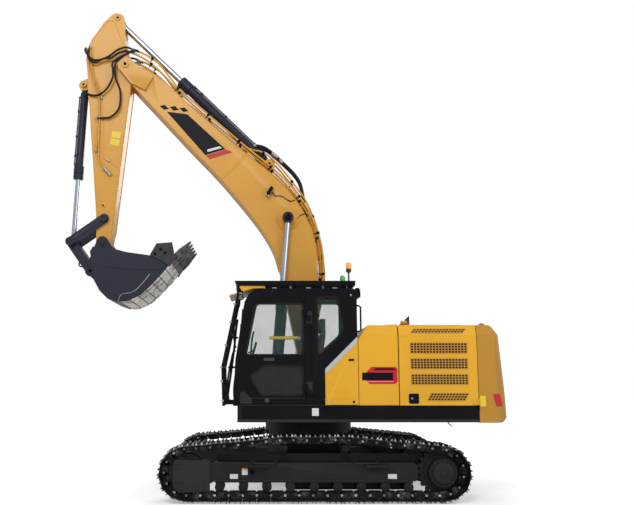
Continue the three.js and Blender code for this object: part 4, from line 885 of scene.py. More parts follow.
def track_loop(samples=4000):
    """Points of the loop at equal steps, from the front end along the ground and back on top."""
    end = SPROCKET_X
    turn = np.linspace(-math.pi / 2, math.pi / 2, 200)
    rear = np.stack([end + TUMBLER * np.cos(turn), TUMBLER + TUMBLER * np.sin(turn)], -1)
    top = 2 * TUMBLER
    humps = [(end, top), ((end + CARRIERS[1]) / 2, top + RISE * 0.5), (CARRIERS[1], top + RISE),
             (sum(CARRIERS) / 2, top + RISE * 0.94), (CARRIERS[0], top + RISE),
             ((CARRIERS[0] - end) / 2, top + RISE * 0.45), (-end, top)]
    front = np.stack([-rear[:, 0], 2 * TUMBLER - rear[:, 1]], -1)
    line = np.concatenate([[(-end, 0)], rear, curve_through(humps, 300), front])
    steps = np.r_[0, np.cumsum(np.hypot(*np.diff(line, axis=0).T))]
    at = np.linspace(0, steps[-1], samples, endpoint=False)
    return np.stack([np.interp(at, steps, line[:, k]) for k in (0, 1)], -1)


LOOP = track_loop()


def round_the_loop(part):
    """Copies a surface of [along, side, depth] points onto every shoe's place."""
    points, faces = part
    joints = LOOP[(np.arange(SHOES + 1) * len(LOOP) // SHOES) % len(LOOP)]
    middle = (joints[1:] + joints[:-1]) / 2
    tangent = joints[1:] - joints[:-1]
    tangent /= np.linalg.norm(tangent, axis=1)[:, None]
    inward = np.stack([-tangent[:, 1], tangent[:, 0]], -1)
    xz = (middle[:, None] + points[None, :, :1] * tangent[:, None]
          + points[None, :, 2:] * inward[:, None])
    side = np.broadcast_to(points[None, :, 1], xz.shape[:2])
    everywhere = np.stack([xz[..., 0], side, xz[..., 1]], -1).reshape(-1, 3)
    count = len(points)
    return everywhere, [tuple(k + i * count for k in f) for i in range(SHOES) for f in faces]


# %% [markdown]
# ## Shoes, links and bolts
#
# Each link of the chain is forged and carries a shoe on four bolts. The whole link is drawn once,
# lying flat. A modifier could repeat it along a curve, but would bend every shoe; placing it on 49
# straight steps keeps the shoes flat, as steel is.

# %% One shoe and its links
def shoe_section():
    """The rolled plate from edge to edge: three grousers outside, lips turned in at both edges."""
    outside = [(-101, 22)]
    for at in (-78, 0, 78):
        outside += [(at - 13, 27), (at - 6, 0), (at + 6, 0), (at + 13, 27)]
    outside += [(97, 30)]
    return outside + [(97, 41), (88, 38), (-88, 38), (-101, 33)]


def track(side, sign):
    """Shoes, bolts and links of one track; the grousers' tips take the polished steel."""
    section = shoe_section()
    shoe, faces = plate(section, -SHOE_HALF, SHOE_HALF)
    tips = [i for i in range(len(section)) if section[i][1] == 0
            and section[(i + 1) % len(section)][1] == 0]
    tips = [i + k * len(faces) for k in range(SHOES) for i in tips]
    shoes = round_the_loop((shoe, faces))
    link = plate([(-112, 60), (-90, 40), (70, 40), (95, 62), (95, 112), (72, 134), (-84, 134),
                  (-112, 112)], -17, 17)
    links = [(link[0] + [0, offset, 0], link[1]) for offset in (-78, -52, 52, 78)]
    pins = turned([(-98, 22), (98, 22)], (-100, 0, 86), (0, 1, 0), 8)
    bolts = [turned([(0, 15), (9, 15), (12, 11)], (s, y, 27), (0, 0, -1), 6)
             for s in (-39, 39) for y in (-72, 72)]
    inner = round_the_loop(pooled(*links, pins, *bolts))
    points, faces = pooled(shoes, inner)
    points = points + [0, sign * GAUGE_HALF, 0]
    piece(f"track_shoes_{side}", MACHINE, (points, faces), "undercarriage", TRACK_STEEL,
          instead_of=[f"track_{side}"], second=(POLISHED, tips))


track("left", -1)
track("right", 1)


# %% [markdown]
# ## Hydraulic cylinders
#
# A cylinder is a drawn tube welded to a forged eye at one end, with a screwed gland at the other
# and a chromed rod sliding through it. All its parts are turned, so each is a profile carried
# round the cylinder's own axis. A steel pipe brings oil to the gland end along the tube.


# %% Cylinder parts
CYLINDER_EDGE = 0.0015


def line_between(foot, eye):
    """A Member whose pivot is the foot pin and which points at the rod's eye, with its length."""
    foot, eye = np.asarray(foot, float), np.asarray(eye, float)
    d = (eye - foot) / MM
    angle = math.degrees(math.atan2(d[2], -d[0]))
    return Member(((foot[0] - SLEW_X) / MM, foot[2] / MM), angle), math.hypot(d[0], d[2])


def eye_ring(at, y, radius, half, bore=42):
    """A forged eye: a drum across the axis with chamfered edges and a hardened bush inside."""
    drum = turned([(-half, bore + 8), (-half, radius - 7), (-half + 7, radius), (half - 7, radius),
                   (half, radius - 7), (half, bore + 8)], (at, y, 0), (0, 1, 0), 36, True)
    bush = turned([(-half - 2, bore + 9), (-half - 2, bore), (half + 2, bore),
                   (half + 2, bore + 9)], (at, y, 0), (0, 1, 0), 36, True)
    return pooled(drum, bush)


def cylinder(names, bodies, foot, eye, y, barrel, rod, head, half, closed, eye_radius):
    """A barrel and a rod. Sizes are the tube's, rod's and gland's radii, the eye's half width,
    the length when drawn in, and the eye's radius, in millimetres."""
    axis, length = line_between(foot, eye)
    gland = closed - eye_radius - 30
    tube_start, tube_end = eye_radius + 18, gland - 100
    middle, along, sides = (0, y, 0), (1, 0, 0), 48
    shell = turned([(eye_radius - 30, half * 0.8), (tube_start - 8, half), (tube_start, half),
                    (tube_start + 8, barrel - 4), (tube_start + 14, barrel), (tube_end, barrel),
                    (tube_end + 4, barrel), (tube_end + 4, rod + 6), (tube_start + 20, rod + 6)],
                   middle, along, sides)
    bands = [turned([(at, barrel - 1), (at + 3, barrel + 5), (at + 15, barrel + 5),
                     (at + 18, barrel - 1)], middle, along, sides, True)
             for at in (tube_start + 60, tube_end - 330)]
    gland_nut = turned([(gland - 230, barrel - 2), (gland - 222, head), (gland - 96, head),
                        (gland - 90, head - 6), (gland - 80, head - 6), (gland - 74, head),
                        (gland - 8, head), (gland, head - 8), (gland, rod + 4),
                        (gland - 230, rod + 4)], middle, along, sides, True)
    rise = barrel + 16
    run = [(tube_start + 90, y, barrel * 0.5), (tube_start + 95, y, rise),
           (tube_start + 180, y, rise), (gland - 330, y, rise), (gland - 285, y, rise),
           (gland - 225, y, head - 10)]
    pipe = tube(curve_through(run, 40), 11, 10)
    clips = [block((at, at + 34), (y - 17, y + 17), (barrel * 0.9, rise + 15))
             for at in (tube_start + 320, (tube_start + gland) / 2, gland - 420)]
    nipple = round_bar(middle, (0, y, -(eye_radius + 12)), 7, 8)
    piece(names[0] + "_finished", axis,
          [eye_ring(0, y, eye_radius, half), shell, *bands, gland_nut, pipe, *clips, nipple],
          bodies[0], NAVY, CYLINDER_EDGE, [names[0]])
    inside = closed - eye_radius - 255
    chrome = turned([(length - inside, rod), (length - eye_radius + 4, rod)], middle, along, sides)
    forged = turned([(length - eye_radius - 12, rod - 2), (length - eye_radius - 2, rod + 9),
                     (length - eye_radius * 0.6, half * 0.85)], middle, along, 40)
    points, faces = pooled(chrome, pooled(forged, eye_ring(length, y, eye_radius, half)))
    painted = range(len(chrome[1]), len(faces))
    piece(names[1] + "_finished", axis, (points, faces), bodies[1], CHROME,
          CYLINDER_EDGE, [names[1]], second=(NAVY, list(painted)))
    print(names[0], "pin to pin", round(length), "mm")


# %% The four sizes of cylinder
BOOM_EYE_AT = np.array([2270.9, 986])
BOOM_EYE = BOOM.to([BOOM_EYE_AT[0], 0, BOOM_EYE_AT[1]])
for side, sign in (("left", -1), ("right", 1)):
    cylinder((f"boom_barrel_{side}", f"boom_rod_{side}"), ("boom_barrels", "boom_rods"),
             MACHINE.to([-555, 0, 1450]), BOOM_EYE, sign * 300,
             barrel=75, rod=45, head=84, half=50, closed=1800, eye_radius=88)
cylinder(("arm_barrel", "arm_rod"), ("arm_barrel", "arm_rod"), BOOM.to([3245.2, 0, 1216]),
         ARM.to([-849, 0, 250]), 0, barrel=84, rod=50, head=100, half=55, closed=2239,
         eye_radius=92)
ROCKER_PIN, ROCKER_LENGTH = ARM.to([2662, 0, 26]), 667
ROCKER = Member(((ROCKER_PIN[0] - SLEW_X) / MM, ROCKER_PIN[2] / MM), -35.48)
ROCKER_END = ROCKER.to([ROCKER_LENGTH, 0, 0])
cylinder(("bucket_barrel", "bucket_rod"), ("bucket_barrel", "bucket_rod"),
         ARM.to([379, 0, 686]), ROCKER_END, 0, barrel=66, rod=40, head=84, half=50, closed=1735,
         eye_radius=80)


# %% [markdown]
# ## Boom: welds and pipes
#
# The boom's side plates are welded to its top and bottom plates, and a bead shows along every
# edge. Steel pipes run along its top in clamps and end at the nose, where hoses take over. Beads
# and pipes are rings carried along the same two outlines as the boom, so that all keep together.

# %% Lines along the boom
B = BOOM_LENGTH
BOOM_HALF = 204
BOOM_TOP = curve_through(
    [(B - 60, 120), (B - 305, 300), (B - 754, 470), (0.8339 * B, 522), (0.7117 * B, 745),
     (0.5995 * B, 965), (0.4936 * B, 1180), (0.4069 * B, 1262), (0.3362 * B, 1235),
     (0.2724 * B, 1130), (0.1933 * B, 872), (430, 300), (60, 148)], 170)
BOOM_UNDER = curve_through(
    [(0.2732 * B, 443), (0.3362 * B, 524), (0.4249 * B, 512), (0.572 * B, 384),
     (0.7068 * B, 211), (0.8339 * B, 55), (B - 300, -85), (B - 60, -115)], 80)


def at_side(line, side):
    """Two-number points given a side: [ahead, side, up]."""
    line = np.asarray(line, float)
    return np.stack([line[:, 0], np.full(len(line), float(side)), line[:, 1]], -1)


def beside(line, offset, side, first, last):
    """The part of a line between two places ahead, moved outwards and given a side."""
    slope = np.gradient(line, axis=0)
    slope /= np.linalg.norm(slope, axis=1)[:, None]
    out = line + np.asarray(offset) * np.stack([slope[:, 1], -slope[:, 0]], -1)
    keep = (line[:, 0] < first) & (line[:, 0] > last)
    return at_side(out[keep], side)


def clamps(path, spacing, radius, reach):
    """Bands round a pipe with a foot on the plate below it, at equal steps along the path."""
    parts = []
    steps = np.r_[0, np.cumsum(np.linalg.norm(np.diff(path, axis=0), axis=1))]
    for at in np.arange(spacing / 2, steps[-1], spacing):
        here = np.array([np.interp(at, steps, path[:, k]) for k in range(3)])
        ahead = np.array([np.interp(at + 10, steps, path[:, k]) for k in range(3)]) - here
        ahead /= np.linalg.norm(ahead)
        down = np.array([-ahead[2], 0, ahead[0]])
        down *= np.sign(down @ reach) if abs(down @ reach) > 0 else 1
        if reach[1]:
            down = np.array([0, float(np.sign(reach[1])), 0])
        parts += [round_bar(here - ahead * 22, here + ahead * 22, radius + 7, 14, 3),
                  round_bar(here, here + down * np.linalg.norm(reach), 9, 8)]
    return parts


def ways_out(path):
    """A pipe's two ends, each with the direction that leads out of it."""
    pairs = ((path[0], path[2]), (path[-1], path[-3]))
    return [(end, (end - back) / np.linalg.norm(end - back)) for end, back in pairs]


# %% Weld beads and bosses
beads = []
for s in (-1, 1):
    for line in (BOOM_TOP[3:-4], BOOM_UNDER):
        beads.append(tube(at_side(line, s * BOOM_HALF), 8, 8))
    for top, low in (((5433, 280), (5355, 39)), ((3567, 948), (3418, 404)),
                     ((3539, 957), (3390, 412))):
        beads.append(tube(at_side(np.linspace(top, low, 8), s * (BOOM_HALF + 1)), 5, 6))
    ring = np.linspace(0, 2 * np.pi, 56, endpoint=False)
    boss = BOOM_EYE_AT + 183 * np.stack([np.cos(ring), np.sin(ring)], -1)
    beads.append(closed_tube(at_side(boss, s * (BOOM_HALF + 2)), 15, 8))
piece("boom_welds", BOOM, beads, "boom", BOOM_YELLOW)

# %% Pipes along the top
FRONT = np.array([(6105, 262), (5999, 346), (5842, 434), (5700, 492), (5536, 518), (5320, 540),
                  (5060, 580)], float)
OUTER = np.array([(3720, 1010), (3598, 1100), (3498, 1205), (3348, 1285), (3114, 1345),
                  (2899, 1375), (2623, 1400), (2395, 1412), (2156, 1385), (1889, 1325),
                  (1541, 1200), (1205, 1045), (900, 830), (640, 580)], float)
runs, grips, fittings = [], [], []
for s in (-1, 1):
    lift = np.interp(BOOM_TOP[:, 0], [500, 1500, 2400, 4900], [84, 96, 90, 92])[:, None]
    over = beside(BOOM_TOP, lift, s * 186, 4800, 600)
    raised = curve_through(np.concatenate([at_side(FRONT, s * 202), over[::8]]), 220)
    edge = beside(BOOM_TOP, 56, s * 148, 5000, 620)
    nose_run = [(6050, s * 206, 232), (5940, s * 204, 300), (5800, s * 200, 366),
                (5640, s * 192, 424), (5460, s * 186, 470), (5260, s * 168, 510)]
    low = curve_through(np.concatenate([nose_run, edge[::8]]), 220)
    outer = curve_through(at_side(OUTER, s * 112), 160)
    for path, r in ((raised, 16), (low, 17), (outer, 15)):
        runs.append(tube(path, r, 12))
        grips += clamps(path, 690, r, np.array([0, 0, -70.0 - 20 * (r == 16)]))
        for end, out in ways_out(path):
            fittings.append(round_bar(end - out * 12, end + out * 42, r + 8, 6, 3))
            fittings.append(round_bar(end - out * 40, end - out * 12, r + 5, 16, 2))
piece("boom_clamps", BOOM, grips, "boom", BLACK)
piece("boom_pipes", BOOM, runs, "boom", BOOM_YELLOW)
piece("boom_fittings", BOOM, fittings, "boom", BOLT_STEEL)

# %% [markdown]
# ## Boom: blank band, lamp and wires
#
# The band is film, cut in blocks and left blank. It could be a mask in the paint; as a plate that
# stands 1.6 mm proud, its edges stay crisp at any distance. The lamp is a slanted box with its lens
# in front, and its wires sag between two clips, as real ones do.

# %% Blank band on both sides
def decal(name, colour, outlines, half=BOOM_HALF + 1):
    """Thin plates on both sides of the boom, from outlines of [ahead, up]."""
    parts = [plate(o, *sorted((s * (half - 0.5), s * (half + 1.6)))) for o in outlines
             for s in (-1, 1)]
    piece(name, BOOM, parts, "boom", colour)


decal("band_navy", DECAL_NAVY, [
    [(4880, 190), (4668, 462), (3816, 704), (3898, 364)],
    [(5032, 138), (4997, 221), (4902, 246), (4938, 163)],
    [(4930, 270), (4893, 358), (4801, 383), (4838, 295)],
    [(4826, 400), (4790, 482), (4700, 507), (4734, 426)]])
decal("band_white", LABEL_WHITE, [[(3965, 440), (3905, 650), (3862, 662), (3926, 424)]],
      BOOM_HALF + 2.2)
decal("band_red", RED, [[(3806, 707), (3704, 786), (3798, 395), (3888, 366)]])

# %% Work lamp and its wires
lamp = [plate([(2870, 1020), (2826, 1042), (2756, 912), (2800, 888)], -300, -222),
        round_bar((2796, -206, 950), (2796, -262, 950), 14, 12, 2),
        plate([(2788, 890), (2768, 876), (2748, 916), (2766, 932)], -302, -220)]
piece("boom_lamp", BOOM, lamp, "boom", BLACK, 0.006)
glow = plate([(2800, 886), (2748, 914), (2740, 900), (2792, 872)], -296, -226)
piece("boom_lamp_lens", BOOM, glow, "boom", CLEAR_LENS, 0.003)
wire = curve_through([(2775, -240, 985), (2735, -214, 1000), (2704, -212, 1002),
                      (2655, -212, 1085), (2570, -212, 1130), (2505, -212, 1165),
                      (2480, -210, 1225), (2478, -190, 1275)], 50)
feed = curve_through([(2180, -216, 1120), (2204, -213, 1160), (2208, -211, 1220),
                      (2186, -205, 1276), (2150, -188, 1310)], 40)
clips = [round_bar((u, -222, v), (u, -204, v), 13, 10, 3) for u, v in ((2704, 1002), (2505, 1165))]
piece("boom_wires", BOOM, [tube(wire, 7, 8), tube(feed, 7, 8), *clips], "boom", RUBBER)

# %% [markdown]
# ## Pin caps
#
# A pivot pin is kept in place by a round plate at each end, held by two bolts round its centre,
# where a dark disc is painted shade for the bore.
# Bump in the paint would shade such a plate from the front but not in profile, so each is turned.

# %% Pin caps
pin_centres = {}


def pin_cap(member, at, half, radius):
    """A pin's end plate held by two bolts, on each side."""
    parts = []
    # Each centre is a dark disc of painted shade, standing for the pin's bore.
    centre = [turned([(0, radius * 0.4), (7, radius * 0.4), (10, radius * 0.3)],
                     (at[0], s * half, at[1]), (0, s, 0), 20) for s in (-1, 1)]
    pin_centres.setdefault(member, []).append(pooled(*centre))
    for s in (-1, 1):
        y = s * half
        cap = turned([(-8, radius), (5, radius), (9, radius - 4), (9, radius * 0.45),
                      (4, radius * 0.42), (4, 2)], (at[0], y, at[1]), (0, s, 0), 28)
        bolts = [hexagon_head((at[0] + 0.68 * radius * k, y + s * 8, at[1]), (0, s, 0), 17, 10)
                 for k in (-1, 1)]
        parts += [cap, *bolts]
    return parts


ends = [turned([(-6, 60), (4, 60), (8, 54), (8, 20), (3, 16), (3, 1)],
               (BOOM_EYE_AT[0], s * 354, BOOM_EYE_AT[1]), (0, s, 0), 32) for s in (-1, 1)]
piece("boom_eye_caps", BOOM, ends, "boom", BLACK)
caps = [*pin_cap(BOOM, (B, 0), 262, 62), *pin_cap(BOOM, (3245, 1216), 128, 50)]
piece("boom_pin_caps", BOOM, caps, "boom", BOOM_YELLOW)

# %% [markdown]
# ## Arm: pipes, welds and labels
#
# The arm is a closed box of welded plates. Its pipes run on stand-offs along both sides to where
# hoses leave for the bucket's cylinder. Each is a line through a few points, with clamps at equal
# steps along it, so a line that changes keeps its clamps. The warning labels are blank.

# %% Arm fittings
arm_beads = []
for s in (-1, 1):
    head = curve_through([(-400, 640), (-560, 545), (-690, 462), (-786, 376), (-752, 296),
                          (-580, 200), (-374, 84)], 60)
    arm_beads.append(tube(at_side(head, s * 165), 5, 6))
    for line in (((588, 400), (640, 330), (981, 255), (1430, 196), (1640, 167), (1785, -100)),
                 ((1700, 190), (1760, 168), (1880, 30), (1945, -95)),
                 ((-300, 590), (0, 555), (420, 470), (588, 400))):
        arm_beads.append(tube(at_side(line, s * 166), 5, 6))
    under = np.array([(40, -112), (310, -122), (2880, -124)], float)
    over = np.array([(2680, 152), (2390, 205), (1688, 340), (1167, 445), (771, 517), (520, 584)])
    arm_beads += [tube(at_side(under, s * 164), 9, 8), tube(at_side(over, s * 164), 7, 8)]
    boss_at = (2440, s * 163, 76)
    arm_beads.append(turned([(0, 46), (4, 46), (6, 40)], boss_at, (0, s, 0), 28))
    # A dark disc of painted shade marks the boss's bore.
    pin_centres.setdefault(ARM, []).append(
        turned([(0, 17), (6, 17), (6.6, 15)], boss_at, (0, s, 0), 16))
piece("arm_welds", ARM, arm_beads, "arm", BOOM_YELLOW)

ARM_PIPES = {
    "long": [(-215, 690), (-160, 668), (144, 600), (517, 424), (640, 372), (914, 332), (1520, 268),
             (1690, 236), (1770, 178), (1849, 110), (1905, 40)],
    "short": [(975, 380), (1010, 362), (1180, 318), (1520, 312)],
    "inner": [(-262, 640), (-180, 625), (130, 556), (470, 392), (600, 340)],
}
arm_runs, arm_ends = [], []
for s in (-1, 1):
    for name, line in ARM_PIPES.items():
        path = curve_through(at_side(line, s * 190), 90)
        arm_runs.append(tube(path, 14, 12))
        arm_runs += clamps(path, 420, 14, np.array([0, -s * 26.0, 0]))
        for end, out in ways_out(path):
            arm_ends.append(round_bar(end - out * 20, end + out * 30, 21, 6, 3))
    arm_ends.append(round_bar((1800, s * 195, 152), (1925, s * 195, 12), 25, 20, 5))
    arm_ends.append(round_bar((1690, s * 176, 60), (1650, s * 176, 120), 16, 16, 3))
piece("arm_pipes", ARM, arm_runs, "arm", BOOM_YELLOW)
piece("arm_pipe_ends", ARM, arm_ends, "arm", BOLT_STEEL)
arm_labels = [plate(o, *sorted((s * 164.5, s * 166.8))) for s in (-1, 1) for o in (
    [(1160, 88), (1160, -58), (1272, -56), (1270, 92)],
    [(1290, 94), (1292, -56), (1402, -55), (1388, 98)])]
piece("arm_labels", ARM, arm_labels, "arm", LABEL_YELLOW)
arm_caps = [*pin_cap(ARM, (-849, 250), 172, 50), *pin_cap(ARM, (379, 686), 132, 46)]
piece("arm_pin_caps", ARM, arm_caps, "arm", BOOM_YELLOW)

# %% [markdown]
# ## Hoses across the moving joints
#
# Where a pipe ends at a joint, a slack loop of hose carries on. Each loop is one unbroken tube
# from one steel end to the other, drawn where the joint stands at rest and carried by neither body.


# %% Loops of hose
def loop(name, points, radius=17, end=None):
    """A hose through points in metres."""
    path = curve_through(points, 90)
    rings, faces = tube(path / MM, radius, 12)
    mesh = bpy.data.meshes.new(name)
    mesh.from_pydata(rings * MM, [], faces)
    mesh.materials.append(RUBBER)
    shade(mesh)
    thing = bpy.data.objects.new(name, mesh)
    bpy.context.scene.collection.objects.link(thing)
    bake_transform(thing)


def mirror(points, sign):
    """The same places on the other side of the machine when sign is 1."""
    return np.asarray(points, float) * [1, -sign, 1]


for side, sign in (("near", -1), ("far", 1)):
    upper = np.concatenate([
        BOOM.to(mirror([(6120, -190, 252), (6216, -212, 168), (6247, -222, 20), (6225, -224, -186),
                        (6262, -222, -361), (6350, -214, -446)], sign)),
        ARM.to(mirror([(-170, -206, 705), (-238, -194, 716), (-215, -190, 690)], sign))])
    loop(f"head_hose_a_{side}", upper)
    lower = np.concatenate([
        BOOM.to(mirror([(6060, -206, 226), (6150, -214, 140), (6190, -226, 0), (6180, -232, -150)],
                       sign)),
        ARM.to(mirror([(-66, -236, 380), (10, -232, 520), (-40, -222, 625),
                       (-160, -206, 668), (-262, -190, 640)], sign))])
    loop(f"head_hose_b_{side}", lower)
    drop = np.concatenate([
        BOOM.to(mirror([(6060, -225, 290), (6100, -238, 200)], sign)),
        ARM.to(mirror([(-60, -262, 120), (69, -262, 165), (279, -250, 120), (482, -236, 26),
                       (763, -222, 12), (925, -206, 130), (962, -194, 290), (975, -190, 380)],
                      sign))])
    loop(f"head_hose_c_{side}", drop)
    base = np.concatenate([
        BOOM.to(mirror([(6030, -216, 310), (6080, -250, 240)], sign)),
        ARM.to(mirror([(-20, -272, 190), (120, -266, 190), (249, -250, 180), (440, -232, 250),
                       (560, -216, 370), (583, -196, 500), (540, -160, 610),
                       (505, -110, 655)], sign))])
    loop(f"head_hose_d_{side}", base)
    arch = BOOM.to(mirror([(3653, -84, 1176), (3575, -66, 1272), (3478, -54, 1334),
                           (3328, -50, 1385), (3108, -48, 1446), (2897, -46, 1494),
                           (2713, -46, 1496), (2511, -48, 1432), (2360, -50, 1368),
                           (2180, -52, 1316)], sign))
    loop(f"arm_cylinder_hose_{side}", arch, 26,
         end=BOOM.to((2900, sign * 46, 1482)))
    for number, y in enumerate((112, 148, 186)):
        foot = np.concatenate([
            BOOM.to([(600, sign * y, (556, 474, 500)[number]),
                     (520, sign * y, (480, 410, 436)[number]), (380, sign * y, 345)]),
            MACHINE.to([(330, sign * (y - 16), 1990), (400, sign * (y - 30), 1800),
                        (380, sign * (y - 40), 1600), (330, sign * (y - 40), 1460)])])
        loop(f"foot_hose_{number}_{side}", foot, 19)

# %% [markdown]
# ## Bucket, links and rocker
#
# The bucket's shell is the dressed CAD copy, and what wears is added to it. The strips are short
# plates laid side by side, each bent along its share of the shell's outline: one bent sheet would
# show no gaps. The side plates get their seams, lips and the bolts of the side cutters.

# %% Wear strips
SHELL = np.array([(1239, 262), (1186, 352), (1092, 500), (1005, 600), (880, 750), (740, 890),
                  (560, 985), (379, 1012)], float)


def band(outline, low, high, first, last):
    """A plate laid on the outline from one share of its length to another, 2 to 15 mm proud."""
    steps = np.r_[0, np.cumsum(np.linalg.norm(np.diff(outline, axis=0), axis=1))]
    at = np.linspace(first, last, 7) * steps[-1]
    line = np.stack([np.interp(at, steps, outline[:, k]) for k in (0, 1)], -1)
    slope = np.gradient(line, axis=0)
    slope /= np.linalg.norm(slope, axis=1)[:, None]
    normal = np.stack([slope[:, 1], -slope[:, 0]], -1)
    return plate(np.concatenate([line + normal * 2, (line + normal * 15)[::-1]]), low, high)


strips = []
for low, high in ((-592, -420), (-396, -216), (-192, -12), (12, 192), (216, 396), (420, 592)):
    for first, last in np.stack([np.linspace(0.085, 0.83, 7), np.linspace(0.195, 0.94, 7)], -1):
        strips.append(band(SHELL, low, high, first, last))
piece("wear_strips", BUCKET, strips, "bucket", WORN_PLATE, 0.003)

# %% Seams, lips and bolts
LIP = [(402, 1001), (457, 892), (612, 852), (731, 752), (875, 552)]
bucket_bits, bucket_bolts, lip_edges = [], [], []
for s in (-1, 1):
    seam = [(-60, 402), (79, 458), (300, 478), (555, 486), (1010, 481), (1130, 420)]
    bucket_bits.append(tube(at_side(seam, s * 600), 7, 8))
    bucket_bits.append(plate([*LIP, (999, 514), (1092, 500), (1005, 600), (880, 750), (740, 890),
                              (560, 985)], *sorted((s * 598, s * 610))))
    # The pale bead along the lip is worn steel and a painted highlight together.
    lip_edges.append(tube(at_side(curve_through(LIP, 40), s * 611), 6, 8))
    bucket_bolts += [hexagon_head((u, s * 624, v), (0, s, 0), 34, 18)
                     for u, v in ((935, 228), (1092, 205), (1022, 150))]
piece("bucket_bits", BUCKET, bucket_bits, "bucket", NAVY, 0.003)
piece("lip_edges", BUCKET, lip_edges, "bucket", WORN_AND_HIGHLIT_EDGE)

# %% Rocker, link and pins
ring = closed_tube([(-360 + 46 * math.cos(a), 0, 350 + 46 * math.sin(a))
                    for a in np.linspace(0, 2 * np.pi, 32, endpoint=False)], 12, 10)
piece("link_ring", BUCKET, ring, "bucket_link", NAVY)
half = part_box("rocker")[1][1] / MM
discs = [turned([(-4, r), (14, r), (20, r - 8), (20, 30), (12, 26), (12, 2)], (at, s * half, 0),
                (0, s, 0), 32) for s in (-1, 1) for at, r in ((0, 68), (ROCKER_LENGTH, 74))]
piece("rocker_discs", ROCKER, discs, "rocker", NAVY)
piece("bucket_bolts", BUCKET, bucket_bolts, "bucket", BLACK)
for name, at in (("bucket_pins", (0, 0)), ("link_pins", (-155, 492))):
    piece(name, BUCKET, pin_cap(BUCKET, at, 226, 58), "bucket", NAVY)
# The dark discs of painted shade on all the pin centres.
for member, body in ((BOOM, "boom"), (ARM, "arm"), (BUCKET, "bucket")):
    piece(f"{body}_pin_centres", member, pin_centres[member], body, SHADE_AND_SCREEN_BLACK)

# %% [markdown]
# ## Couplings at the arm cylinder
#
# The two arched hoses meet their pipes in crimped steel couplings. They could be modelled turn by
# turn; a short thick bar with rounded ends is enough, since only its shine is seen from the ground.

# %% Couplings at the arm cylinder
couplings = []
for s in (-1, 1):
    for a, b in (((3665, -90, 1152), (3640, -82, 1196)), ((3400, -51, 1364), (3280, -49, 1402)),
                 ((3240, -49, 1412), (3160, -48, 1434))):
        couplings.append(round_bar(mirror(a, s), mirror(b, s), 31, 12, 4))
piece("arm_cylinder_couplings", BOOM, couplings, "arm_barrel", BOLT_STEEL)

# %% [markdown]
# ## House: louvres and latches
#
# The service doors breathe through bands of louvres: slats and bars across an opening, whose shade
# is painted as a dark plate behind them. An array modifier would space them, but only upright. One
# function makes a band at any place, with upright or slanting ends. Above the crease the panels
# lean inwards, and so do their details.

# %% The leaning panel
HOUSE_SIDE, CREASE_Z, LEAN_HEIGHT, LEAN_IN = 1360, 2368, 147, 60


def on_side(part, sign):
    """Moves a part drawn with side 0 at the panel's face out to it, leaning in above the crease."""
    points, faces = part
    p = np.array(points, float)
    leaned = LEAN_IN * np.clip((p[:, 2] - CREASE_Z) / LEAN_HEIGHT, 0, 1)
    p[:, 1] = sign * (HOUSE_SIDE - leaned + p[:, 1])
    return p, faces


def louvre(x0, x1, low, high, slant, pitch=46):
    """The opening's painted shade as a dark plate and, before it, slats and bars, ends slanted by
    some mm.
    """
    def leaned(left, right, a, b, depth):
        """A block whose corners move along by slant times their share of the height."""
        corners = [(x + slant * (z - low) / (high - low), z)
                   for x, z in ((left, a), (right, a), (right, b), (left, b))]
        return plate(corners, *depth)

    count = max(2, round((high - low) / 38))
    step = (high - low) / count
    slats = [leaned(x0, x1, low + k * step - 6, low + k * step + 6, (-1, 6))
             for k in range(count + 1)]
    bars = round((x1 - x0) / pitch)
    slats += [leaned(x - 7, x + 7, low, high, (-1, 4.5)) for x in np.linspace(x0, x1, bars + 1)]
    return leaned(x0, x1, low, high, (-1, 1.2)), pooled(*slats)


BANDS = [(1424, 2180, 2398, 2456, 50), (1412, 2232, 2102, 2250, 0), (1412, 2232, 1878, 2022, 0),
         (1418, 2232, 1654, 1796, 0), (1640, 2180, 1424, 1526, 56)]
for door, sign in (("radiator_door", -1), ("pump_door", 1)):
    openings, slats = zip(*[louvre(*b) for b in BANDS])
    piece(f"{door}_openings", MACHINE, on_side(pooled(*openings), sign), door, SHADE_AND_SCREEN_BLACK)
    # The slats' darker yellow is painted shade.
    piece(f"{door}_slats", MACHINE, on_side(pooled(*slats), sign), door, SHADED_LOUVRE_YELLOW)
    latch = pooled(plate(softened(rectangle(1372, 1516, 1378, 1522), 22), -1, 9),
                   plate(softened(rectangle(1396, 1492, 1402, 1498), 14), 8, 12))
    piece(f"{door}_latch", MACHINE, on_side(latch, sign), door, BLACK, 0.003)
    key = turned([(-6, 13), (4, 13), (6, 9)], (1416, 10, 1452), (0, 1, 0), 16)
    piece(f"{door}_key", MACHINE, on_side(key, sign), door, BOLT_STEEL)

# %% [markdown]
# ## Pressed creases
#
# The doors and side panels are pressed from sheet, with soft ridges that stiffen them. A bump
# texture would shade a ridge and leave its outline flat. A low three-sided bar, half sunk into the
# panel along the ridge's line, also catches the light from the side.

# %% Pressed creases
def crease(line, width=44, height=3):
    """A ridge as if pressed into the panel: a flat triangle carried along a line of [x, z]."""
    line = np.asarray(line, float)
    way = np.gradient(line, axis=0)
    way /= np.linalg.norm(way, axis=1)[:, None]
    across = np.stack([-way[:, 1], way[:, 0]], -1) * width / 2
    rows = []
    for edge, rise in ((-1, -2.0), (-0.25, height), (1, -2.0)):
        q = line + edge * across
        rows.append(np.stack([q[:, 0], np.full(len(q), rise), q[:, 1]], -1))
    points = np.stack(rows, 1).reshape(-1, 3)
    faces = grid_faces(len(line), 3, close_columns=True)
    return points, faces + [(0, 1, 2), tuple(range(len(points) - 3, len(points)))[::-1]]


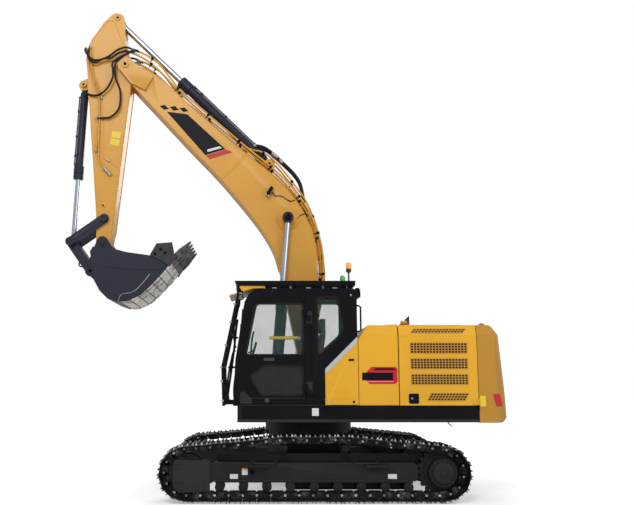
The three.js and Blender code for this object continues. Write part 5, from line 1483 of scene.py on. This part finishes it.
UPPER = [(686, 2098), (760, 2190), (916, 2354), (960, 2362), (1216, 2362)]
LOWER = [(760, 1558), (1226, 1558)]
ridges = [crease(line) for line in (UPPER, LOWER, [(850, 2470), (1100, 2500), (1222, 2505)])]
piece("side_panel_creases", MACHINE, on_side(pooled(*ridges), -1), "upper", HOUSE_YELLOW)
for door, sign in (("radiator_door", -1), ("pump_door", 1)):
    ridges = pooled(crease([(1250, 2362), (2366, 2362)]), crease([(1250, 1558), (1600, 1558)]))
    piece(f"{door}_creases", MACHINE, on_side(ridges, sign), door, HOUSE_YELLOW)

# %% [markdown]
# ## Badge, labels and stripes
#
# These are films and thin plates on the machine's flat faces. A picture wrapped on the panel would
# have to be lined up; a rounded outline with a little thickness has a place and a real edge of its
# own. All of them are blank.

# %% Badge, labels and stripe
def flat(name, outline, material, body="upper", depth=(-1, 2.0), sign=-1, face=HOUSE_SIDE,
         edge=0.0, slot="black_paint"):
    """A thin plate on a vertical face of the machine, both given in millimetres."""
    part = plate(outline, *sorted((sign * (face + depth[0]), sign * (face + depth[1]))))
    return piece(name, MACHINE, part, body, material, edge)


flat("badge_red", softened([(756, 1816), (838, 1904), (1188, 1904), (1214, 1878), (1214, 1690),
                            (1184, 1660), (812, 1660), (764, 1704)], 12), RED, depth=(-1, 3))
flat("badge_black", softened(rectangle(704, 1150, 1712, 1822), 10), BLACK, depth=(-1, 5))
flat("badge_bar", softened([(872, 1856), (892, 1886), (1162, 1886), (1194, 1856)], 6), DECAL_NAVY,
     depth=(-1, 5))
flat("badge_line", [(782, 1690), (1150, 1690), (1150, 1698), (775, 1698)], SILVER, depth=(-1, 5))
stripe = [(172, 1790), (172, 1872), (186, 1892), (640, 2340), (645, 2280), (645, 2262)]
flat("cab_stripe", stripe, SILVER, depth=(-2, 6), edge=0.002)
flat("deck_label", rectangle(-25, 72, 1206, 1314), LABEL_WHITE, depth=(-1, 1.5))
for name, sign in (("deck_strip", -1), ("deck_strip_far", 1)):
    flat(name, rectangle(-1098, 2378, 1114, 1156), GREY_PAINT, depth=(-2, 4), sign=sign, edge=0.002)
CORNER_X, CORNER_SLOPE = 2630, 0.744
for sign, side in ((-1, "near"), (1, "far")):
    flat(f"counterweight_label_{side}", softened(rectangle(2396, 2474, 1342, 1490), 8),
         LABEL_YELLOW, depth=(-1, 2), sign=sign)
    mark = [plate([(2582, 1516), (CORNER_X, 1516), (CORNER_X, 1340), (2624, 1340)], -6, 3),
            plate([(CORNER_X, 1516), (2700, 1516), (2742, 1340), (CORNER_X, 1340)], -6, 3)]
    points, faces = pooled(*mark)
    corner = CORNER_SLOPE * np.clip(points[:, 0] - CORNER_X, 0, None)
    points[:, 1] = sign * (HOUSE_SIDE + points[:, 1] - corner)
    piece(f"counterweight_mark_{side}", MACHINE, (points, faces), "upper", RED)

# %% Handles and locks of the front door
flat("front_handle_rim", softened(rectangle(488, 604, 1978, 2030), 24), HOUSE_YELLOW, "front_door",
     (-1, 5), slot="house_yellow", edge=0.002)
# The handle's recess is a dark plate: painted shade.
flat("front_handle", softened(rectangle(508, 594, 1988, 2020), 15), SHADE_AND_SCREEN_BLACK, "front_door",
     (-1, 6))
lock = turned([(-4, 22), (4, 22), (7, 17), (7, 6)], (249, -1361, 1409), (0, -1, 0), 24)
piece("front_lock", MACHINE, lock, "front_door", BOLT_STEEL)
plug = turned([(-4, 19), (4, 19), (6, 14)], (580, -1361, 1404), (0, -1, 0), 24)
piece("front_plug", MACHINE, plug, "front_door", RUBBER)
flat("front_foot", softened([(262, 1448), (560, 1448), (520, 1474), (300, 1474)], 10), HOUSE_YELLOW,
     "front_door", (-2, 4), slot="house_yellow", edge=0.003)

# %% [markdown]
# ## Cab: seals, hinges and latches
#
# Every pane sits in a rubber seal, which is one closed tube: a bevelled curve would do as well, but
# would have to be made a mesh first. The door hangs on two heavy hinges and has a grab bar behind
# its glass, striped for safety.

# %% Window seals and door furniture
LEFT_PANE, RIGHT_PANE, REAR_PANE = -1359, -416, 645.0
SEALS = {
    "cab_door": [[(-980, 2080), (-150, 2080), (-144, 2828), (-800, 2828), (-850, 2790)],
                 [(-760, 1500), (-150, 1500), (-148, 1912), (-706, 1929), (-917, 1773)]],
    "upper": [[(67, 2086), (110, 2086), (369, 2332), (441, 2456), (360, 2918), (67, 2918)]],
}
for body, windows in SEALS.items():
    seals = []
    for window in windows:
        seals.append(closed_tube(at_side(softened(window, 60, 5), LEFT_PANE), 11, 10))
    piece(f"seals_{body}", MACHINE, seals, body, SEAL)
right = softened([(-1010, 2020), (20, 2020), (480, 2420), (480, 2920), (-830, 2920)], 60, 5)
piece("seal_right", MACHINE, closed_tube(at_side(right, RIGHT_PANE), 11, 10), "upper", SEAL)
rear = softened(rectangle(-1250, -525, 2401, 2900), 60, 5)
rear = np.stack([np.full(len(rear), REAR_PANE), rear[:, 0], rear[:, 1]], -1)
piece("seal_rear", MACHINE, closed_tube(rear, 11, 10), "upper", SEAL)
for number, (low, high) in enumerate(((2538, 2716), (1515, 1690))):
    flat(f"door_hinge_{number}", softened(rectangle(-106, -14, low, high), 12), GREY_PAINT,
         depth=(-2, 9), edge=0.003)
bar = round_bar((-640, -1316, 2326), (-196, -1316, 2326), 25, 16, 4)
posts = [round_bar((x, -1322, 2326), (x, -1345, 2326), 11, 10) for x in (-620, -240)]
piece("door_grab_bar", MACHINE, [bar, *posts], "cab_door", STRIPED)
knob = turned([(-12, 30), (6, 34), (16, 26), (20, 12)], (-206, -1326, 2322), (0, -1, 0), 28)
piece("door_knob", MACHINE, knob, "cab_door", GREY_TRIM)
vent = plate(softened([(-1058, 1378), (-1058, 1530), (-1010, 1560), (-884, 1436),
                       (-884, 1378)], 14), -1368, -1358)
ribs = [plate([(x, 1392), (x + 30, 1392), (x + 30, z), (x, z + 26)], -1372, -1360)
        for x, z in ((-1040, 1500), (-985, 1480), (-932, 1428))]
piece("door_vent", MACHINE, [vent, *ribs], "cab_door", GREY_PAINT, 0.002)
latch = pooled(turned([(-4, 34), (4, 34), (8, 28), (8, 12), (5, 11)], (-671, -1360, 1425),
                      (0, -1, 0), 28),
               plate(softened(rectangle(-720, -560, 1990, 2034), 18), -1374, -1358))
piece("door_latch", MACHINE, latch, "cab_door", TRIM, 0.002)
flat("door_kick_line", rectangle(-1070, -130, 1452, 1462), GREY_PAINT, "cab_door", (-1, 3),
     edge=0.001)
flat("cab_sill_line", rectangle(-1100, 640, 1352, 1362), GREY_PAINT, depth=(-1, 3), edge=0.001)

# %% [markdown]
# ## Roof: visor, beacon and lamps
#
# A sun visor and two work lamps sit under the roof guard; an amber beacon and a green lamp stand on
# it. Each lamp is a profile carried round its axis, with the lens as a piece of its own, so that
# glass and housing can have different finishes and the lens can be lit.

# %% Roof: visor, beacon, lamps
visor = plate([(-1228, 2948), (-1222, 2966), (-1106, 2996), (-1040, 3000), (-1040, 2976),
               (-1108, 2972)], -1290, -500)
piece("visor", MACHINE, visor, "upper", CREAM, 0.005)
wedge = plate([(-1094, 3094), (-706, 3090), (-690, 3054), (-880, 3052), (-980, 3020),
               (-1030, 3010)], -1332, -450)
piece("roof_wedge", MACHINE, wedge, "upper", HOUSE_YELLOW, 0.005)
at = (610, -700, 3164)
base = turned([(-4, 40), (4, 40), (8, 13), (214, 13), (226, 38), (262, 43), (276, 41)], at, UP)
piece("beacon_base", MACHINE, base, "upper", TRIM)
dome = turned([(274, 38), (280, 41), (346, 40), (368, 34), (380, 22), (384, 4)], at, UP)
piece("beacon", MACHINE, dome, "upper", AMBER)
at = (514, -700, 3164)
dome = turned([(-2, 30), (70, 30), (74, 40), (130, 42), (158, 36), (174, 20), (180, 4)], at, UP)
piece("status_lamp", MACHINE, dome, "upper", GREEN)
boxes = [plate(softened([(642, 2918), (700, 2918), (706, 2950), (700, 3046), (632, 3046)], 12), low,
               high) for low, high in ((-1330, -1200), (-600, -470))]
piece("rear_lamps", MACHINE, boxes, "upper", BLACK, 0.006)
glow = [plate(rectangle(698, 711, 2936, 3030), low, high)
        for low, high in ((-1318, -1212), (-588, -482))]
piece("rear_lamp_lenses", MACHINE, glow, "upper", CLEAR_LENS, 0.003)
lamps, lenses = [], []
for y in (-1230, -560):
    at, way = (-1030, y, 3035), (-1, 0, -0.16)
    lamps.append(turned([(0, 36), (14, 58), (70, 66), (84, 64), (86, 56)], at, way))
    lenses.append(turned([(78, 56), (90, 50), (94, 30), (95, 4)], at, way))
piece("front_lamps", MACHINE, lamps, "upper", BLACK)
piece("front_lamp_lenses", MACHINE, lenses, "upper", CLEAR_LENS)
roof_bits = [round_bar((x, y, 3050), (x, y, 3100), 15, 10) for x in (-820, -320, 160, 520)
             for y in (-1270, -500)]
roof_bits += [block((x - 34, x + 34), (y - 18, y + 18), (3052, 3066)) for x in (-560, -60, 330)
              for y in (-1320, -460)]
piece("roof_mounts", MACHINE, roof_bits, "upper", BOLT_STEEL, 0.002)
piece("cab_bolts", MACHINE, hexagon_head((560, -1361, 2950), (0, -1, 0), 20, 8), "upper",
      BOLT_STEEL)

# %% [markdown]
# ## Front of the cab
#
# Bolts hold the guard's bars, the wiper lies on the windscreen, and rails stand by the door. Rails
# could be straight bars with elbows; as curves through a few points they bend where a real one is
# bent, and pass through the places where they are fixed.

# %% Guard bolts, wiper and rails
arm_path = curve_through([(-1075, -520, 2100), (-1085, -700, 2300), (-1066, -900, 2560)], 30)
blade = tube(np.linspace((-1072, -1010, 2280), (-1040, -800, 2800), 20), 9, 8)
piece("wiper", MACHINE, [tube(arm_path, 7, 8), blade], "upper", TRIM)
guard_bits = []
for face, way in ((-1336, -1), (-441, 1)):
    for x, z in ((-1312, 1420), (-1326, 1700), (-1334, 1900), (-1270, 2220), (-1200, 2560),
                 (-1145, 2820)):
        guard_bits.append(hexagon_head((x, face, z), (0, way, 0), 26, 14))
piece("guard_bolts", MACHINE, guard_bits, "upper", BOLT_STEEL)
stay = curve_through([(-1120, -1345, 2180), (-1150, -1372, 2300), (-1142, -1380, 2480),
                      (-1120, -1378, 2600)], 30)
piece("mirror_stay", MACHINE, tube(stay, 10, 10), "upper", BLACK)
step_rail = curve_through([(-1195, -1350, 1420), (-1225, -1365, 1460), (-1238, -1366, 1700),
                           (-1170, -1366, 2080), (-1130, -1350, 2140)], 40)
piece("entry_rail", MACHINE, tube(step_rail, 14, 12), "upper", BLACK)

# %% [markdown]
# ## Tanks, treads and caps on the far side
#
# Fuel and oil tanks fill the side away from the cab and are the way up to the engine, so black
# treads with raised studs cover their tops. A bump texture would do from above and vanish when seen
# along the deck, so each stud is a small eight-sided button on a grid.

# %% Far side fittings
caps = [turned([(0, 62), (16, 62), (24, 54), (24, 20), (34, 18), (36, 12)], (x, y, z), UP, 32)
        for x, y, z in ((60, 1120, 2250), (820, 1120, 2400), (1010, 820, 2400))]
piece("tank_caps", MACHINE, caps, "upper", BLACK, 0.002)
AIR_CAP = (1392, -1000, 2515)
knob = turned([(-8, 64), (10, 64), (18, 56), (18, 30), (44, 28), (52, 50), (70, 52), (84, 40),
               (90, 12)], AIR_CAP, UP, 32)
piece("air_cap", MACHINE, knob, "upper", HOUSE_YELLOW)
ring = turned([(26, 58), (30, 64), (40, 64), (44, 56)], AIR_CAP, UP, 32)
piece("air_cap_ring", MACHINE, ring, "upper", LABEL_ORANGE)
treads = []
for x0, x1, y0, y1, z in ((-980, -580, 720, 1330, 1760), (-110, 520, 600, 1320, 2250),
                          (600, 1200, 600, 1320, 2400), (1320, 2310, -1230, -760, 2515),
                          (1320, 2310, 760, 1230, 2515)):
    treads.append(block((x0, x1), (y0, y1), (z - 1, z + 4)))
    gx, gy = np.meshgrid(np.arange(x0 + 30, x1 - 20, 62), np.arange(y0 + 30, y1 - 20, 62))
    for x, y in zip(gx.ravel(), gy.ravel()):
        treads.append(turned([(3, 15), (7, 13), (8, 9)], (x, y, z), UP, 8))
piece("treads", MACHINE, treads, "upper", BLACK)
# The gauges take the clear lens, whose faint glow is painted light on a part that is no lamp.
gauge = [plate(rectangle(*place), 1358, 1366)
         for place in ((200, 230, 1500, 1900), (820, 850, 1600, 1800))]
piece("level_gauges", MACHINE, gauge, "upper", CLEAR_LENS, 0.002)
eyes = []
for y in (-520, 520):
    arch = [(2700 + 62 * math.cos(a), y, 2512 + 78 * math.sin(a))
            for a in np.linspace(0, np.pi, 24)]
    eyes.append(tube(arch, 17, 12))
# The eyes stand on the counterweight and take its darker yellow: painted shade.
piece("lifting_eyes", MACHINE, eyes, "upper", SHADED_HOUSE_YELLOW)
camera_box = block((2930, 2990), (-60, 60), (2470, 2540))
piece("rear_camera", MACHINE, camera_box, "upper", TRIM, 0.006)

# %% [markdown]
# ## Conduits behind the guard
#
# Cables for the lamps come down behind the front guard in two conduits on small brackets. They
# could be left out, but the guard's bars would stand too thin and clear beside the cab.

# %% Conduits and brackets behind the guard
conduits = [tube(curve_through([(-1102, -1275, 2600), (-1122, -1285, 2448), (-1146, -1290, 2200),
                                (-1176, -1290, 1950), (-1210, -1290, 1700), (-1236, -1288, 1500),
                                (-1234, -1285, 1390)], 60), 17, 10),
            tube(curve_through([(-1100, -1280, 2040), (-1122, -1288, 1850), (-1150, -1288, 1600),
                                (-1144, -1280, 1390)], 50), 13, 10)]
for z, front, back in ((1420, -1286, -1096), (1900, -1236, -1088), (2330, -1176, -1092)):
    conduits.append(block((front, back), (-1300, -1270), (z - 14, z + 14)))
piece("guard_conduits", MACHINE, conduits, "upper", BLACK, 0.002)

# %% [markdown]
# ## Bright marks on the tracks
#
# Grouser ends and link pins are rubbed bright and catch the light; their pale colour is partly
# real wear and partly a painted highlight. That row of bright marks is what makes a track look like
# steel. Noise in the paint can't find those edges, so each mark is a thin plate, placed round the
# loop in the same way as the shoes.

# %% Bright marks round the loop
chevron = [(-15, 29), (-6, -0.5), (6, -0.5), (15, 29), (8, 29), (0, 9), (-8, 29)]
marks = []
for at in (-78, 0, 78):
    for low, high in ((-302.5, -299), (299, 302.5)):
        points, faces = plate(chevron, low, high)
        marks.append((points + [at, 0, 0], faces))
for low, high in ((-101, -96), (96, 101)):
    marks.append(turned([(low, 15), (low + 1, 18), (high - 1, 18), (high, 15)], (-100, 0, 86),
                        (0, 1, 0), 12))
marks = round_the_loop(pooled(*marks))
for side, sign in (("left", -1), ("right", 1)):
    points, faces = marks
    piece(f"track_marks_{side}", MACHINE, (points + [0, sign * GAUGE_HALF, 0], faces),
          "undercarriage", RUBBED_AND_HIGHLIT)

# %% [markdown]
# ## Rollers, ledges and covers
#
# Nine rollers carry the machine on each track, and only their end covers and brackets are seen. The
# drive motor has a ring of bolts, and the frame its ledges, steps and blank notices. All are turned
# or cut once for each side in one loop, because equal steps are what the eye checks.

# %% Rollers, guards, ledges and covers
ROLLERS = np.linspace(-1345, 1345, 9)
FRAME_SIDE = 1341
MOTOR_FACE = max(abs(v.co.y / MM) for v in frame["nodes"]["sprocket_left"].data.vertices)
print("motor face", round(MOTOR_FACE))
covers, ledges, bolts = [], [], []
for s in (-1, 1):
    for x in ROLLERS:
        covers.append(turned([(-4, 66), (4, 66), (8, 60), (8, 44), (14, 40), (14, 20), (18, 16)],
                             (x, s * 1320, 206), (0, s, 0), 28))
        covers.append(block((x - 62, x + 62), sorted((s * 1262, s * 1318)), (258, 300)))
        bolts += [hexagon_head((x + k, s * 1319, 276), (0, s, 0), 20, 9) for k in (-40, 40)]
    for x in CARRIERS:
        covers.append(turned([(-6, 54), (6, 54), (12, 48), (12, 34), (20, 30), (22, 14)],
                             (x, s * 1290, 751), (0, s, 0), 28))
    ledges.append(block((-1440, 1440), sorted((s * 1326, s * 1350)), (290, 304)))
    ledges.append(block((-340, 1400), sorted((s * 1062, s * 1078)), (142, 300)))
    ledges.append(block((-1400, 1500), sorted((s * 1044, s * 1060)), (540, 655)))
    yoke = softened([(-2012, 470), (-1990, 588), (-1480, 580), (-1480, 150), (-1930, 134),
                     (-2000, 200)], 26)
    ledges.append(plate(yoke, *sorted((s * 1336, s * 1362))))
    for z in (512, 462, 270):
        ledges.append(block((-1985, -1860), sorted((s * 1360, s * 1368)), (z - 6, z + 6)))
    ledges.append(block((-1470, -1458), sorted((s * 1336, s * 1358)), (270, 560)))
    for z in (500, 458, 376):
        ledges.append(block((-1450, -1250), sorted((s * 1338, s * 1348)), (z - 7, z + 7)))
    for x0 in (-871, 575):
        rail = [(x0, s * 1345, 574), (x0 + 20, s * 1390, 545), (x0 + 160, s * 1398, 545),
                (x0 + 310, s * 1390, 545), (x0 + 330, s * 1345, 574)]
        ledges.append(tube(curve_through(rail, 30), 11, 10))
    for a in np.linspace(0, 2 * np.pi, 16, endpoint=False):
        bolts.append(hexagon_head((SPROCKET_X + 176 * math.cos(a), s * MOTOR_FACE,
                                   TUMBLER + 176 * math.sin(a)), (0, s, 0), 24, 12))
    covers.append(turned([(0, 150), (8, 150), (16, 138), (16, 60), (26, 52), (28, 12)],
                         (SPROCKET_X, s * MOTOR_FACE, TUMBLER), (0, s, 0), 40))
piece("roller_covers", MACHINE, covers, "undercarriage", FRAME_BLACK, 0.002)
piece("frame_ledges", MACHINE, ledges, "undercarriage", GREY_PAINT, 0.002)
piece("frame_bolts", MACHINE, bolts, "undercarriage", FRAME_BLACK)
for side, s in (("near", -1), ("far", 1)):
    for number, (x0, x1, z0, z1) in enumerate(((-1198, -1084, 324, 390), (1050, 1174, 324, 390),
                                               (-1028, -946, 378, 452))):
        flat(f"frame_label_{number}_{side}", rectangle(x0, x1, z0, z1), LABEL_WHITE,
             "undercarriage", (-1, 2), s, FRAME_SIDE)
    flat(f"frame_label_orange_{side}", rectangle(-1028, -946, 452, 474), LABEL_ORANGE,
         "undercarriage", (-1, 2), s, FRAME_SIDE)
    plug = turned([(-2, 34), (4, 34), (8, 28), (8, 8)], (-885, s * (FRAME_SIDE + 1), 419),
                  (0, s, 0), 28)
    piece(f"grease_cover_{side}", MACHINE, plug, "undercarriage", SHADE_AND_SCREEN_BLACK)
hook = tube(curve_through([(1960, -1180, 1116), (1975, -1185, 1090), (2020, -1190, 1050)], 12),
            8, 8)
piece("drain_rod", MACHINE, hook, "upper", BLACK)

# %% [markdown]
# ## Operator station
#
# The seat is what one sees through the glass. A cushion is foam in a tight cover, with a crowned
# top and round edges. A cloth simulation would add creases that nobody sees through dark glass. One
# formula gives every cushion: a superellipsoid, whose points are signed powers of cosines and
# sines, so it's closed and full.


# %% Cushions
def cushion(centre, half, lean=0.0, corner=0.34, crown=0.62, rows=28, columns=64):
    """A closed pillow: half sizes in mm, corners sharper as corner falls, leaned in degrees."""
    def power(value, e):
        """A power of the value's size, with the value's sign."""
        return np.sign(value) * np.abs(value) ** e

    v = np.linspace(-np.pi / 2, np.pi / 2, rows + 2)[1:-1, None]
    u = np.linspace(0, 2 * np.pi, columns, endpoint=False)[None, :]
    shape = np.stack([power(np.cos(v), crown) * power(np.cos(u), corner) * half[0],
                      power(np.cos(v), crown) * power(np.sin(u), corner) * half[1],
                      power(np.sin(v), 0.8) * half[2] * np.ones_like(u)], -1)
    points = shape.reshape(-1, 3)
    c, s = math.cos(math.radians(lean)), math.sin(math.radians(lean))
    leaned = points @ np.array([[c, 0, -s], [0, 1, 0], [s, 0, c]]) + np.asarray(centre, float)
    n = len(points)
    faces = grid_faces(rows, columns, close_columns=True)
    return leaned, faces + [tuple(range(columns))[::-1], tuple(range(n - columns, n))]


FLOOR_Z, MID = 1407, -887.5  # the cab's floor, and its middle from side to side
SOFT = {
    "seat_cushion": ((-235, MID, FLOOR_Z + 372), (285, 245, 74), 4),
    "seat_bolster_left": ((-230, MID - 205, FLOOR_Z + 412), (265, 50, 44), 4),
    "seat_bolster_right": ((-230, MID + 205, FLOOR_Z + 412), (265, 50, 44), 4),
    "seat_back": ((88, MID, FLOOR_Z + 700), (305, 222, 66), -77),
    "seat_back_wing_left": ((62, MID - 196, FLOOR_Z + 690), (260, 40, 50), -77),
    "seat_back_wing_right": ((62, MID + 196, FLOOR_Z + 690), (260, 40, 50), -77),
    "headrest": ((150, MID, FLOOR_Z + 1120), (112, 140, 52), -80),
    "armrest_left": ((-190, MID - 300, FLOOR_Z + 655), (170, 48, 34), 2),
    "armrest_right": ((-190, MID + 300, FLOOR_Z + 655), (170, 48, 34), 2),
}
for name, (centre, half, lean) in SOFT.items():
    soft = piece(name, MACHINE, cushion(centre, half, lean), "upper", TWILL)

# %% [markdown]
# ## Seat frame, consoles, levers and pedals
#
# These are seen dimly through tinted glass, so their outlines matter more than their finish. Plates
# and blocks make the frame; a lever is a bellows, a bent stalk and a turned grip. Both sides come
# from one loop, with the side's sign.

# %% Seat frame, consoles, levers and pedals
hard = [plate(softened([(-420, FLOOR_Z + 2), (110, FLOOR_Z + 2), (60, FLOOR_Z + 300),
                        (-400, FLOOR_Z + 300)], 26), MID - 215, MID + 215),
        plate(softened([(60, FLOOR_Z + 330), (110, FLOOR_Z + 330), (206, FLOOR_Z + 960),
                        (206, FLOOR_Z + 1215), (172, FLOOR_Z + 1215), (150, FLOOR_Z + 940)], 14),
              MID - 200, MID + 200)]
for k in range(6):
    z = FLOOR_Z + 60 + 34 * k
    hard.append(block((-432, 116), (MID - 226, MID + 226), (z, z + 16)))
for s in (-1, 1):
    y = MID + s * 300
    console = softened([(-560, FLOOR_Z + 480), (-20, FLOOR_Z + 440), (0, FLOOR_Z + 560),
                        (-40, FLOOR_Z + 590), (-540, FLOOR_Z + 628), (-585, FLOOR_Z + 590)], 30)
    hard.append(plate(console, y - 72, y + 72))
    hard.append(plate(softened([(-300, FLOOR_Z), (-60, FLOOR_Z), (-40, FLOOR_Z + 480),
                                (-320, FLOOR_Z + 480)], 30), y - 56, y + 56))
    folds = [(8 + 9 * k, 44 - 3.6 * k - 5 * (k % 2)) for k in range(8)]
    hard.append(turned([(0, 46), *folds, (84, 12)], (-490, y, FLOOR_Z + 612), UP, 28))
    hard.append(tube(curve_through([(-490, y, FLOOR_Z + 690), (-494, y, FLOOR_Z + 740),
                                    (-488, y - 6, FLOOR_Z + 770)], 16), 10, 12))
    hard.append(turned([(0, 14), (8, 22), (60, 26), (96, 24), (118, 27), (132, 20), (136, 6)],
                       (-488, y - 6, FLOOR_Z + 762), (-0.12, 0, 1), 24))
    hard.append(block((-430, -300), (y - 50, y + 50), (FLOOR_Z + 614, FLOOR_Z + 622)))
    for k in range(3):
        for m in range(2):
            hard.append(block((-420 + 40 * k, -392 + 40 * k), (y - 36 + 42 * m, y - 8 + 42 * m),
                              (FLOOR_Z + 620, FLOOR_Z + 627)))
    pedal = softened([(-905, FLOOR_Z + 30), (-880, FLOOR_Z + 12), (-640, FLOOR_Z + 150),
                      (-660, FLOOR_Z + 172)], 8)
    for inner in (20, 118):
        low, high = sorted((MID + s * inner, MID + s * (inner + 84)))
        hard.append(plate(pedal, low, high))
    stalk = curve_through([(-790, MID + s * 62, FLOOR_Z + 90), (-770, MID + s * 70, FLOOR_Z + 300),
                           (-720, MID + s * 74, FLOOR_Z + 520)], 24)
    hard.append(tube(stalk, 11, 12))
    hard.append(turned([(-30, 16), (-20, 22), (40, 22), (50, 14)],
                       (-716, MID + s * 74, FLOOR_Z + 530), (0.2, 0, 1), 20))
hard.append(block((-960, 40), (MID - 330, MID + 330), (FLOOR_Z + 1, FLOOR_Z + 12)))
piece("station_frame", MACHINE, hard, "upper", TRIM, 0.004, ["operator_station"])

# %% Monitor, belt and trim
screen = plate(softened([(-905, FLOOR_Z + 700), (-880, FLOOR_Z + 690), (-820, FLOOR_Z + 900),
                         (-846, FLOOR_Z + 910)], 10), -600, -440)
arm_of_screen = tube(curve_through([(-872, -520, FLOOR_Z + 790), (-900, -480, FLOOR_Z + 760),
                                    (-960, -450, FLOOR_Z + 740)], 12), 12, 10)
piece("monitor", MACHINE, [screen, arm_of_screen], "upper", TRIM, 0.004)
face = plate([(-872, FLOOR_Z + 712), (-868, FLOOR_Z + 710), (-818, FLOOR_Z + 888),
              (-822, FLOOR_Z + 890)], -588, -452)
piece("monitor_face", MACHINE, face, "upper", SHADE_AND_SCREEN_BLACK)
belt = tube(curve_through([(150, -1120, FLOOR_Z + 900), (96, -1118, FLOOR_Z + 640),
                           (40, -1108, FLOOR_Z + 420), (10, -1100, FLOOR_Z + 300)], 30), 9, 10)
piece("seat_belt", MACHINE, belt, "upper", RED)
trims = [plate(softened([(300, 1500), (620, 1500), (620, 2280), (520, 2280), (300, 1960)], 60),
               -1290, -480),
         block((-1040, -700), (-1290, -1200), (FLOOR_Z, FLOOR_Z + 90)),
         block((-1070, -990), (-470, -440), (FLOOR_Z + 40, 2000))]
piece("rear_shelf", MACHINE, trims, "upper", GREY_TRIM, 0.008)
rail = tube(curve_through([(-1000, -452, 1900), (-930, -470, 2050), (-900, -472, 2350),
                           (-870, -456, 2480)], 30), 15, 12)
piece("cab_inner_rail", MACHINE, rail, "upper", TRIM)

# %% [markdown]
# ## Behind the service doors
#
# With the doors and bonnet open there is an engine with its covers, filters and manifold, a cooler
# with fine fins and a fan, and a pair of pumps with their hoses. Most of it is only glimpsed, so
# the CAD block gets a few turned and cut parts on top, enough to tell one from another.

# %% Engine and its ancillaries
TOP = 2230
iron = [block((1540, 2120), (-330, 190), (TOP - 2, TOP + 60)),
        block((1560, 2100), (-300, 160), (TOP + 60, TOP + 96))]
for k in range(6):
    x = 1590 + 92 * k
    iron.append(turned([(0, 26), (30, 26), (34, 20), (34, 8)], (x, -70, TOP + 96), UP, 20))
    iron.append(tube(curve_through([(x, 190, TOP - 60), (x, 300, TOP - 50),
                                    (x + 20, 372, TOP - 90)], 14), 30, 14))
iron.append(round_bar((1560, 392, TOP - 96), (2100, 392, TOP - 96), 44, 20, 8))
iron.append(turned([(-60, 60), (-50, 84), (-6, 92), (6, 60), (16, 92), (52, 84), (64, 50)],
                   (1880, 440, TOP + 40), (1, 0, 0), 32))
piece("engine_top", MACHINE, iron, "upper", CAST_IRON, 0.005)

# %% Filters, hoses and pumps
FILTERS = (1600, 1780, 1960)
filters = [turned([(0, 60), (8, 66), (210, 66), (226, 58), (230, 20)], (x, -640, 1760), UP, 32)
           for x in FILTERS]
filters.append(turned([(0, 120), (12, 132), (470, 132), (488, 118), (492, 40)], (1560, 620, 2200),
                      (1, 0, 0), 40))
piece("filters", MACHINE, filters, "upper", CREAM)
lines = [tube(curve_through([(x, -560, 2000), (x, -650, 2030), (x, -640, 1990)], 16), 17, 12)
         for x in FILTERS]
lines += [tube(curve_through([(1880, 500, 2280), (1800, 700, 2420), (1600, 760, 2400),
                              (1500, 640, 2320)], 40), 46, 16),
          tube(curve_through([(1480, -300, 2100), (1400, -380, 2140), (1350, -420, 2060)], 30), 34,
               16)]
for y, z in ((700, 1500), (820, 1560), (940, 1500), (760, 1700), (900, 1740)):
    lines.append(tube(curve_through([(2180, y * 0.55, z), (2240, y * 0.8, z + 60),
                                     (2200, y, z + 20), (2040, y, z - 60)], 30), 22, 12))
piece("engine_hoses", MACHINE, lines, "upper", RUBBER)
pumps = [turned([(0, 120), (40, 150), (220, 150), (240, 120), (400, 116), (412, 90)],
                (1760, y, 1560), (1, 0, 0), 36) for y in (760, 1020)]
pumps += [block((1700, 1764), (600, 1180), (1380, 1760)),
          block((1380, 1640), (820, 1120), (1440, 1700))]
piece("pumps", MACHINE, pumps, "upper", CAST_IRON, 0.005)

# %% Cooler and fan
core = [block((1300, 1372), (-1260, -660), (1400, 2380))]
for k in range(46):
    z = 1424 + 20.4 * k
    core.append(block((1372, 1380), (-1240, -680), (z, z + 7)))
tanks = [block((1292, 1392), (-1290, -630), z) for z in ((2380, 2440), (1352, 1400))]
piece("cooler_core", MACHINE, core, "upper", COOLER)
piece("cooler_tanks", MACHINE, tanks, "upper", BLACK, 0.008)
fan = [turned([(0, 70), (60, 70), (74, 58), (74, 10)], (1400, -380, 1880), (-1, 0, 0), 28)]
hub = np.array([1366, -380, 1880.0])
for a in np.linspace(0, 2 * np.pi, 9, endpoint=False):
    way = np.array([0, math.cos(a), math.sin(a)])
    over = np.array([0, -math.sin(a), math.cos(a)])
    p = [hub + way * 60 - over * 40 - [18, 0, 0], hub + way * 60 + over * 40 + [18, 0, 0],
         hub + way * 240 + over * 70 + [14, 0, 0], hub + way * 240 - over * 50 - [14, 0, 0]]
    q = [c + [4, 0, 0] for c in map(np.asarray, p)]
    fan.append((np.array(p + q), [(0, 1, 2, 3), (7, 6, 5, 4), (0, 4, 5, 1), (1, 5, 6, 2),
                                  (2, 6, 7, 3), (3, 7, 4, 0)]))
piece("fan", MACHINE, fan, "upper", TRIM)
